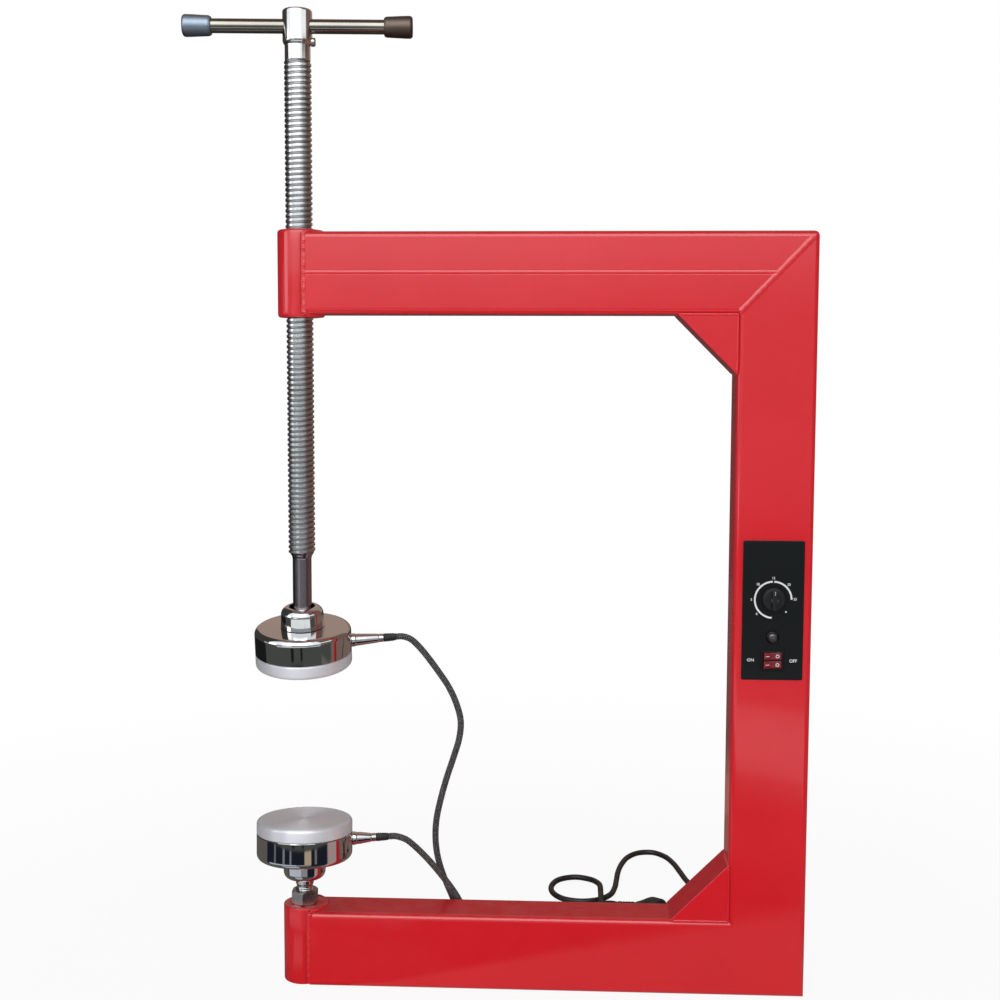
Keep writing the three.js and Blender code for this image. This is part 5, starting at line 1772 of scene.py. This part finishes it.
@dataclass
class CordSet:
    """The two head leads with their grommets, and the mains cord with gland, coil and plug."""

    radius: float = 3.25
    coil_centre: tuple[float, float] = (20.0, 132.0)
    coil_outer: float = 44.5
    coil_pitch: float = 7.1
    turns_in: float = 2.125
    turns_climb: float = 0.5
    tuck: float = 1.5
    floor_z: float = 3.55
    turn_steps: int = 24
    end_steps: int = 13
    gland: Point = (220.0, 25.0, 100.0)
    plug: Point = (82.7, 163.5, 18.65)
    plug_turn: float = math.radians(-35.0)

    upper_route: list[Point] = field(default_factory=lambda: [
        (-147.1, 27.18, 342.46), (-141.5, 28.66, 342.7), (-133.2, 30.4, 339.9), (-124.6, 31.4, 332),
        (-114.8, 32, 320), (-105, 32.4, 306.5), (-95, 32.7, 291.5), (-87, 33.1, 274), (-82.5, 33.2, 256),
        (-84, 33.5, 238),
        (-90, 34, 217.5), (-97, 34.6, 196), (-103.5, 35.2, 172), (-107.5, 36, 152), (-108.5, 36.8, 134),
        (-107, 37.6, 117), (-103.5, 38.4, 102), (-99, 39, 89), (-93, 40, 74), (-86, 41, 57), (-78, 42, 39),
        (-68, 43, 21), (-55, 44, 8), (-38, 44.5, 3.6), (-18, 44, 3.5), (10, 43.4, 3.5), (40, 43.4, 3.5),
        (68, 45, 3.5), (90, 51, 4.6), (106, 56, 10), (117, 56.5, 20), (123, 51.5, 30), (124, 41, 36.2),
        (124, 34, 37), (124, 27.9, 37)])
    lower_route: list[Point] = field(default_factory=lambda: [
        (-154.83, 22.87, 138.27), (-148.5, 24.56, 138.19), (-137.8, 26.9, 134.2), (-130, 28.2, 127.8),
        (-123.5, 28.8, 121.5), (-117, 29.3, 114.7), (-110.5, 29.7, 107.3), (-103.5, 30, 98.8),
        (-95.5, 30.2, 88.5), (-87.5, 30.4, 77), (-80, 30.8, 63), (-73, 31.8, 46), (-66, 33.2, 28),
        (-56, 34.8, 12), (-42, 35.8, 4.4), (-22, 35.4, 3.5), (8, 35, 3.5), (34, 35, 3.5), (54, 35.8, 3.7),
        (68, 38.4, 7), (79, 42.4, 15), (88, 45, 25), (95, 43.5, 33), (98, 37, 36.7), (98, 27.9, 37)])
    run_route: list[Point] = field(default_factory=lambda: [
        (220, 65.8, 100), (220, 76, 99.2), (219.5, 90, 93), (218, 106, 79), (216, 122, 58),
        (213, 138, 35), (209, 155, 15), (203, 173, 5), (195, 196, 3.5), (185, 232, 3.5),
        (175, 262, 3.5), (168, 290, 3.5), (163, 318, 3.5), (157, 348, 3.5), (148, 372, 3.5),
        (134, 386, 3.5), (117, 384, 3.5), (103, 368, 3.5), (94, 343, 3.5), (88, 312, 3.5),
        (85, 282, 3.5), (82, 256, 3.5), (76, 234, 3.5), (62, 218, 3.5), (42, 212, 3.5),
        (22, 219, 3.5), (10, 237, 3.5), (8, 260, 3.5), (17, 282, 3.5), (36, 291, 3.6),
        (54, 283, 4), (63, 264, 6.4), (65, 244, 9.4), (65, 228, 10.9), (65, 214, 10.8),
        (64.8, 200, 7.8), (64.6, 186, 4.3), (64.5, 174, 3.5), (64.5, 160, 3.5), (64.5, 138.8, 3.5)])
    tail_route: list[Point] = field(default_factory=lambda: [
        (26.8, 176.5, 10.6), (36, 177, 10.6), (49, 177.6, 11.4), (61, 176.2, 13.6), (70.5, 171.9, 16.8),
        (77.5, 167.1, 18.5), (82.3, 163.75, 18.65)])

    def coil_line(self) -> list[Point]:
        """Gives the coil's line: a layer in, a climb while it reverses, and a layer out."""
        turns = 2 * self.turns_in + self.turns_climb
        inner = self.coil_outer - self.coil_pitch * self.turns_in
        count = round(turns * self.turn_steps)
        line: list[Point] = []
        for index in range(count + 1):
            t = turns * index / count
            climb = min(max((t - self.turns_in) / self.turns_climb, 0.0), 1.0)
            radius = inner - self.tuck * math.sin(math.pi * climb)
            if t < self.turns_in:
                radius = self.coil_outer - self.coil_pitch * t
            if climb == 1.0:
                radius = inner + self.coil_pitch * (t - self.turns_in - self.turns_climb)
            angle = -math.tau * t
            line.append((self.coil_centre[0] + radius * math.cos(angle),
                         self.coil_centre[1] + radius * math.sin(angle),
                         self.floor_z + self.coil_pitch * climb))
        return line

    def cord(self, name: str, line: Sequence[Point], finish: Finish) -> Piece:
        """Sweeps a cord and gives it its finish.

        Args:
            name: The piece's name.
            line: Its line.
            finish: Its finish.

        Returns:
            The new piece.
        """
        piece = Workbench.swept(name, line, [self.radius] * len(line), sides=6)
        piece.data.materials.clear()
        piece.data.materials.append(finish.material())
        return piece

    def lead_end(self, name: str, line: Sequence[Point], head: Body, carrier: Body) -> None:
        """Makes the stretch of a lead next to its head, as a piece of its own.

        Args:
            name: The piece's name.
            line: Its line, from the head to where the rest of the lead begins.
            head: The head's body.
            carrier: The body that the log names for the rest of the lead.
        """
        piece = self.cord(name, line, Palette.END_BRAID)
        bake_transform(piece)
        log.info("%s between %s and %s", name, carrier.value, head.value)

    def lead(self, name: str, route: Sequence[Point], node: str, finish: Finish, head: Body, carrier: Body) -> None:
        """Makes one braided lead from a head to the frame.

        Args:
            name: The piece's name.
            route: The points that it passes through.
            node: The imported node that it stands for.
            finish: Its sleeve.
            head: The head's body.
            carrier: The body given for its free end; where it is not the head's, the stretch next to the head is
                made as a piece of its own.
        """
        line = smooth_line(route, 4.0)
        if carrier is not head:
            self.lead_end(f"{name}_end", line[:self.end_steps + 1], head, carrier)
            line = line[self.end_steps:]
        piece = self.cord(name, line, finish)
        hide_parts(node)
        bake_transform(piece)
        log.info("%s from %s, %.3f m", name, head.value, line_length(line))

    def build_mains(self) -> None:
        """Makes the mains cord in one piece: run, coil and tail."""
        run = smooth_line(self.run_route, 5.0)
        tail = smooth_line(self.tail_route, 3.0)
        line = run + self.coil_line() + tail
        piece = self.cord("mains_cord", line, Palette.VINYL)
        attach(piece, Body.FRAME.value)
        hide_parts("mains_cord_run", "mains_cord_coil", "mains_cord_tail")
        self.build_plug()
        log.info("mains_cord, %.3f m", line_length(line))

    def build_plug(self) -> None:
        """Turns the round plug, its ribbed neck and its two pins."""
        place = moved(*self.plug) @ Matrix.Rotation(self.plug_turn, 4, "Z") @ ALONG_X
        ribs = []
        for index in range(5):
            z = 3.0 + 3.6 * index
            out = 4.7 + 0.75 * index
            ribs += [(out, z, 0.3), (out, z + 2.2, 0.3), (out - 0.7, z + 2.5, 0.2),
                     (out - 0.6, z + 3.5, 0.2)]
        shell = Workbench.turned("plug_shell", [
            (0, 0.3), (4.2, 0.3, 0.5), *ribs, (9.2, 24.0, 2.0), (12.0, 30.0, 3.0), (17.0, 38.5, 3.0),
            (18.4, 42.0, 1.5),
            (18.4, 53.4, 1.2), (16.8, 54.9, 0.8), (6.0, 54.9), (0, 54.9)], steps=72, place=place)
        fit(shell, Palette.PLUG, Body.FRAME, ("plug_body",))
        for label, side in (("left", -1), ("right", 1)):
            pin = Workbench.turned(f"plug_prong_{label}", [
                (0, 47.2), (2.4, 47.2), (2.4, 60.5, 0.1), (2.3, 60.8, 0.1), (2.35, 61.2), (2.35, 72.6, 0.9),
                (1.2, 73.9, 0.5), (0, 74.0)], steps=28, place=place @ moved(y=side * 9.5))
            fit(pin, Palette.BRASS, Body.FRAME, (f"plug_pin_{label}",))

    def build_entries(self) -> None:
        """Makes the grommets, the gland and the strain relief."""
        for label, x in (("upper", 124.0), ("lower", 98.0)):
            place = moved(x, 25.0, 37.0) @ TO_BACK
            grommet = Workbench.turned(f"grommet_{label}", [
                (3.45, -5.0), (8.3, -5.0, 0.4), (8.3, -3.3), (6.2, -3.3), (6.2, 0.1), (8.4, 0.1, 0.3),
                (8.3, 1.6, 0.6), (6.6, 2.4, 0.5), (4.2, 2.4, 0.5), (3.45, 1.6, 0.3), (3.45, -5.0)],
                steps=48, place=place)
            fit(grommet, Palette.RUBBER, Body.FRAME, (f"{label}_lead_grommet",))
        place = moved(*self.gland) @ TO_BACK
        nut = Workbench.hexagon("gland_nut", 19, 0.3, 5.6)
        Workbench.bevelled(nut, 0.5, 3)
        stem = Workbench.turned("gland_stem", [(0, -12.8), (5.9, -12.8, 0.4), (6.2, 0.3), (0, 0.3)],
                                steps=40)
        gland = Workbench.joined("cord_gland", nut, stem)
        Workbench.put(gland, place)
        fit(gland, Palette.HOUSING, Body.FRAME, ("mains_gland",))
        ribs = []
        for index in range(8):
            z = 13.5 + 3.2 * index
            out = 7.4 - 0.33 * index
            ribs += [(out, z, 0.3), (out, z + 1.9, 0.3), (out - 0.9, z + 2.2, 0.2),
                     (out - 0.9, z + 3.0, 0.2)]
        relief = Workbench.turned("cord_relief", [
            (2.4, 6.3), (8.3, 6.3, 0.5), (8.3, 10.5, 0.8), (7.6, 12.6, 0.5), *ribs, (4.5, 39.4, 0.3),
            (4.2, 40.2, 0.4),
            (2.4, 40.2), (2.4, 6.3)], steps=48, place=place)
        fit(relief, Palette.RUBBER, Body.FRAME, ("mains_strain_relief",))

    def build(self) -> None:
        """Makes every cord, the mains cord first."""
        self.build_mains()
        self.lead("upper_braided_lead", self.upper_route, "upper_lead", Palette.UPPER_BRAID, Body.UPPER_HEAD,
                  Body.CARRIER)
        self.lead("lower_braided_lead", self.lower_route, "lower_lead", Palette.LOWER_BRAID, Body.LOWER_HEAD,
                  Body.LOWER_HEAD)
        self.build_entries()


@dataclass(frozen=True)
class Patch:
    """One soft-edged field of a painted wall, given by its reach in two coordinates."""

    across: tuple[float, float]
    up: tuple[float, float]
    colour: Colour
    soft: float = 4.0


@dataclass
class Studio:
    """Camera, lamps, white surroundings and the painted room that polished metal mirrors."""

    camera_at: Point = (25.527, -1383.942, 604.221)
    yaw: float = -0.0486222
    pitch: float = 0.0869898
    roll: float = 0.0032408
    focal_pixels: float = 1429.238
    picture: float = 1000.0
    sensor_mm: float = 36.0
    room_middle: Point = (SCREW_X, 0.0, 370.0)
    room_radius: float = 2900.0
    wall: Colour = (0.05, 0.047, 0.045)
    floor: Colour = (0.07, 0.075, 0.07)
    room: tuple[Patch, ...] = (
        Patch((-200.0, -150.0), (7.0, 66.0), (0.38, 0.28, 0.235), 5.0),
        Patch((130.0, 200.0), (7.0, 66.0), (0.38, 0.28, 0.235), 5.0),
        Patch((158.0, 200.0), (13.6, 17.8), (0.09, 0.03, 0.025), 1.6),
        Patch((-200.0, -168.0), (13.6, 17.8), (0.09, 0.03, 0.025), 1.6),
        Patch((44.0, 135.0), (-10.0, 66.0), (0.17, 0.12, 0.098), 5.0),
        Patch((-360.0, 360.0), (62.0, 100.0), (0.21, 0.17, 0.15), 8.0),
        Patch((-75.0, 80.0), (20.5, 32.0), (1.05, 1.10, 1.14), 3.0),
        Patch((-90.0, 50.0), (-4.0, 12.0), (0.38, 0.41, 0.44), 3.0),
        Patch((-75.0, 50.0), (10.5, 62.0), (1.05, 1.12, 1.18), 3.0),
        Patch((-40.0, 30.0), (20.0, 60.0), (3.2, 3.3, 3.3), 3.0),
        Patch((-38.0, -16.0), (-5.0, -1.0), (2.3, 2.4, 2.5), 2.0),
        Patch((-74.0, -54.0), (2.0, 22.0), (2.4, 2.4, 2.4), 3.0),
    )
    floor_front: tuple[Patch, ...] = (
        Patch((-60.0, 60.0), (1500.0, 4000.0), (0.22, 0.21, 0.24), 3.0),
        Patch((7.0, 13.0), (1500.0, 4000.0), (0.38, 0.37, 0.40), 2.0),
        Patch((-150.0, -62.0), (60.0, 640.0), (0.12, 0.11, 0.10), 3.0),
        Patch((-86.0, 64.0), (165.0, 622.0), (0.012, 0.014, 0.024), 3.0),
        Patch((-64.0, -59.0), (430.0, 615.0), (0.15, 0.16, 0.18), 1.5),
        Patch((-41.0, -36.0), (430.0, 615.0), (0.22, 0.23, 0.25), 1.5),
        Patch((-24.0, -20.0), (430.0, 615.0), (0.22, 0.23, 0.26), 1.5),
        Patch((10.0, 25.0), (430.0, 615.0), (0.46, 0.36, 0.25), 1.5),
        Patch((33.0, 38.0), (430.0, 615.0), (0.17, 0.17, 0.18), 1.5),
        Patch((-79.0, -8.0), (200.0, 400.0), (0.52, 0.55, 0.62), 3.0),
        Patch((-8.0, 24.0), (200.0, 400.0), (0.28, 0.28, 0.31), 3.0),
        Patch((-50.0, -5.0), (60.0, 160.0), (0.45, 0.47, 0.50), 3.0),
        Patch((-19.5, -12.5), (655.0, 800.0), (0.012, 0.012, 0.012), 1.0),
        Patch((3.7, 8.3), (655.0, 800.0), (0.012, 0.012, 0.012), 1.0),
        Patch((-150.0, -90.0), (650.0, 4000.0), (0.012, 0.012, 0.012), 3.0),
        Patch((-54.0, 52.0), (920.0, 1400.0), (0.92, 0.96, 0.96), 2.5),
        Patch((20.0, 40.0), (920.0, 985.0), (0.10, 0.12, 0.15), 2.0),
        Patch((55.0, 76.0), (650.0, 800.0), (0.15, 0.135, 0.125), 3.0),
        Patch((76.0, 160.0), (650.0, 850.0), (0.27, 0.18, 0.15), 4.0),
        Patch((80.0, 160.0), (850.0, 4000.0), (0.20, 0.14, 0.12), 4.0),
        Patch((64.0, 92.0), (30.0, 640.0), (0.40, 0.30, 0.29), 4.0),
        Patch((92.0, 160.0), (30.0, 640.0), (0.20, 0.13, 0.115), 4.0),
    )

    def set_camera(self) -> None:
        """Sets the camera where the photograph was taken from."""
        forward = Vector((math.sin(self.yaw) * math.cos(self.pitch),
                          math.cos(self.yaw) * math.cos(self.pitch),
                          -math.sin(self.pitch)))
        right = Vector((math.cos(self.yaw), -math.sin(self.yaw), 0.0))
        over = right.cross(forward)
        c, s = math.cos(self.roll), math.sin(self.roll)
        turned_right = right * c + over * s
        turned_over = over * c - right * s
        lens = bpy.data.cameras.new("PhotoCamera")
        lens.sensor_width = self.sensor_mm
        lens.lens = self.focal_pixels / self.picture * self.sensor_mm
        lens.clip_start = 0.01
        lens.clip_end = 60.0
        camera = bpy.data.objects.new("PhotoCamera", lens)
        bpy.context.scene.collection.objects.link(camera)
        rotation = Matrix((turned_right, turned_over, -forward)).transposed()
        camera.matrix_world = Matrix.Translation(Vector(self.camera_at) * MM) @ rotation.to_4x4()
        bpy.context.scene.camera = camera

    def set_lamps(self) -> None:
        """Hangs the soft lamps, which mirrors don't show."""
        lamps = (
            ("KeyLamp", (-700, -2300, 900), (0, 0, 380), 1500, 29.0),
            ("FillLamp", (1500, -1500, 600), (0, 0, 330), 1600, 10.0),
            ("TopLamp", (100, 300, 2300), (0, 0, 300), 1600, 3.0),
            ("BackLamp", (-300, 1900, 1300), (0, 0, 350), 1600, 7.0),
        )
        for name, at, aim, size, watts in lamps:
            lamp = bpy.data.lights.new(name, "AREA")
            lamp.shape = "SQUARE"
            lamp.size = size * MM
            lamp.energy = watts
            holder = bpy.data.objects.new(name, lamp)
            bpy.context.scene.collection.objects.link(holder)
            way = (Vector(aim) - Vector(at)).normalized()
            facing = way.to_track_quat("-Z", "Y").to_matrix().to_4x4()
            holder.matrix_world = Matrix.Translation(Vector(at) * MM) @ facing
            holder.visible_camera = False
            holder.visible_glossy = False

    def set_world(self) -> None:
        """Makes the surroundings white to the eye and in mirrors, and softer as light."""
        world = bpy.data.worlds.new("Surroundings")
        bpy.context.scene.world = world
        world.use_nodes = True
        world.node_tree.nodes.clear()
        board = Board(world.node_tree)
        path = board.node("ShaderNodeLightPath")
        seen = board.sum("MAXIMUM", path.outputs["Is Camera Ray"],
                         board.sum("MAXIMUM", path.outputs["Is Glossy Ray"],
                                   path.outputs["Is Transmission Ray"]))
        white = board.node("ShaderNodeBackground", Color=WHITE, Strength=1.0)
        soft = board.node("ShaderNodeBackground", Color=(0.96, 0.97, 1.0, 1.0), Strength=0.38)
        mixed = board.node("ShaderNodeMixShader", i0=seen, i1=soft.outputs[0], i2=white.outputs[0])
        board.node("ShaderNodeOutputWorld", Surface=mixed.outputs[0])

    @staticmethod
    def bearing(board: Board, offset: object) -> tuple[Socket, object]:
        """Gives the bearing of a place round an upright axis, in degrees from the front.

        Args:
            board: The board.
            offset: Socket of the place, measured from a point on the axis.

        Returns:
            The bearing and the node that splits the place into its coordinates.
        """
        parts = board.node("ShaderNodeSeparateXYZ", Vector=offset)
        turn = board.sum("ARCTAN2", parts.outputs["X"], board.sum("MULTIPLY", parts.outputs["Y"], -1.0))
        return board.sum("DEGREES", turn), parts

    @staticmethod
    def painted(board: Board, across: object, up: object, ground: object, patches: Iterable[Patch],
                up_soft: float = 1.0) -> object:
        """Paints patches over a ground colour.

        Args:
            board: The board.
            across: Socket of the first coordinate.
            up: Socket of the second coordinate.
            ground: Colour or socket under the patches.
            patches: The patches, the lowest first.
            up_soft: Width of a soft edge in the second coordinate for each unit in the first.

        Returns:
            Socket of the colour.
        """
        colour = ground
        for patch in patches:
            mask = None
            for value, reach, soft in ((across, patch.across, patch.soft),
                                       (up, patch.up, patch.soft * up_soft)):
                rise = board.span(value, reach[0] - soft / 2, reach[0] + soft / 2)
                fall = board.span(value, reach[1] - soft / 2, reach[1] + soft / 2, 1.0, 0.0)
                inside = board.sum("MULTIPLY", rise, fall)
                mask = inside if mask is None else board.sum("MULTIPLY", mask, inside)
            colour = board.blend(mask, colour, opaque(patch.colour))
        return colour

    def set_floor(self) -> None:
        """Lays the white floor, which keeps the machine's shadow and is dark in mirrors."""
        Workbench.clear()
        bpy.ops.mesh.primitive_plane_add(size=14.0, location=(0, 0, -0.0002))
        floor = bpy.context.active_object
        floor.name = "studio_floor"
        made = bpy.data.materials.new("StudioFloor")
        made.use_nodes = True
        made.node_tree.nodes.clear()
        board = Board(made.node_tree)
        path = board.node("ShaderNodeLightPath")
        spot = board.place()
        away = board.node("ShaderNodeVectorMath", set_operation="LENGTH", i0=spot).outputs[1]
        share = board.sum("MULTIPLY", path.outputs["Is Camera Ray"], board.span(away, 0.5, 1.4, 0.91, 1.0))
        share = board.sum("MAXIMUM", share, path.outputs["Is Glossy Ray"])
        offset = board.node("ShaderNodeVectorMath", set_operation="SUBTRACT", i0=spot,
                            i1=(self.room_middle[0] * MM, self.room_middle[1] * MM, 0.0)).outputs[0]
        across = self.bearing(board, offset)[0]
        reach = board.node("ShaderNodeVectorMath", set_operation="LENGTH", i0=offset).outputs[1]
        reach = board.sum("DIVIDE", reach, MM)
        mirrored = self.painted(board, across, reach, opaque(self.floor), self.floor_front, 12.0)
        glow_colour = board.blend(path.outputs["Is Glossy Ray"], WHITE, mirrored)
        grain = board.noise(spot, 2.0, 2.0, 0.5)
        shade = board.span(grain, 0.3, 0.7, 0.86, 0.9)
        tone = board.node("ShaderNodeCombineXYZ", X=shade, Y=shade, Z=shade)
        plain = board.node("ShaderNodeBsdfDiffuse", Color=tone.outputs[0])
        glow = board.node("ShaderNodeEmission", Color=glow_colour, Strength=1.0)
        mixed = board.node("ShaderNodeMixShader", i0=share, i1=plain.outputs[0], i2=glow.outputs[0])
        board.node("ShaderNodeOutputMaterial", Surface=mixed.outputs[0])
        floor.data.materials.append(made)

    def set_room(self) -> None:
        """Puts up the round wall with its painted windows, seen only in mirrors."""
        Workbench.clear()
        bpy.ops.mesh.primitive_uv_sphere_add(segments=48, ring_count=24, radius=self.room_radius * MM,
                                             location=in_metres(self.room_middle))
        wall = bpy.context.active_object
        wall.name = "studio_room"
        made = bpy.data.materials.new("StudioRoom")
        made.use_nodes = True
        made.node_tree.nodes.clear()
        board = Board(made.node_tree)
        way = board.node("ShaderNodeVectorMath", set_operation="NORMALIZE", i0=board.place()).outputs[0]
        across, parts = self.bearing(board, way)
        up = board.sum("DEGREES", board.sum("ARCSINE", parts.outputs["Z"]))
        colour = self.painted(board, across, up, opaque(self.wall), self.room)
        glow = board.node("ShaderNodeEmission", Color=colour, Strength=1.0)
        board.node("ShaderNodeOutputMaterial", Surface=glow.outputs[0])
        wall.data.materials.append(made)
        wall.visible_camera = False
        wall.visible_diffuse = False
        wall.visible_shadow = False
        wall.visible_transmission = False

    def build(self) -> None:
        """Sets up the whole studio but the camera."""
        self.set_lamps()
        self.set_world()
        self.set_floor()
        self.set_room()


def main() -> None:
    """Builds the machine piece by piece."""
    logging.basicConfig(level=logging.INFO, format="%(name)s: %(message)s")
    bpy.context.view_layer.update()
    bpy.context.scene.view_settings.view_transform = "Standard"
    studio = Studio()
    studio.set_camera()
    CordSet().build()
    Weldment().build()
    PressScrew().build()
    upper = moved(SCREW_X, 0, UPPER_BALL_Z) @ Matrix.Rotation(UPPER_TILT, 4, "X")
    lower = moved(SCREW_X, 0, LOWER_BALL_Z) @ Matrix.Rotation(LOWER_TILT, 4, "X")
    HeatingHead("upper", Body.UPPER_HEAD, upper, 32.0, 21.2, 1).build()
    HeatingHead("lower", Body.LOWER_HEAD, lower, 24.0, 23.25, -1).build()
    BallStud().build()
    ControlPanel().build()
    studio.build()
    Workbench.clear()


if __name__ == "__main__":
    main()
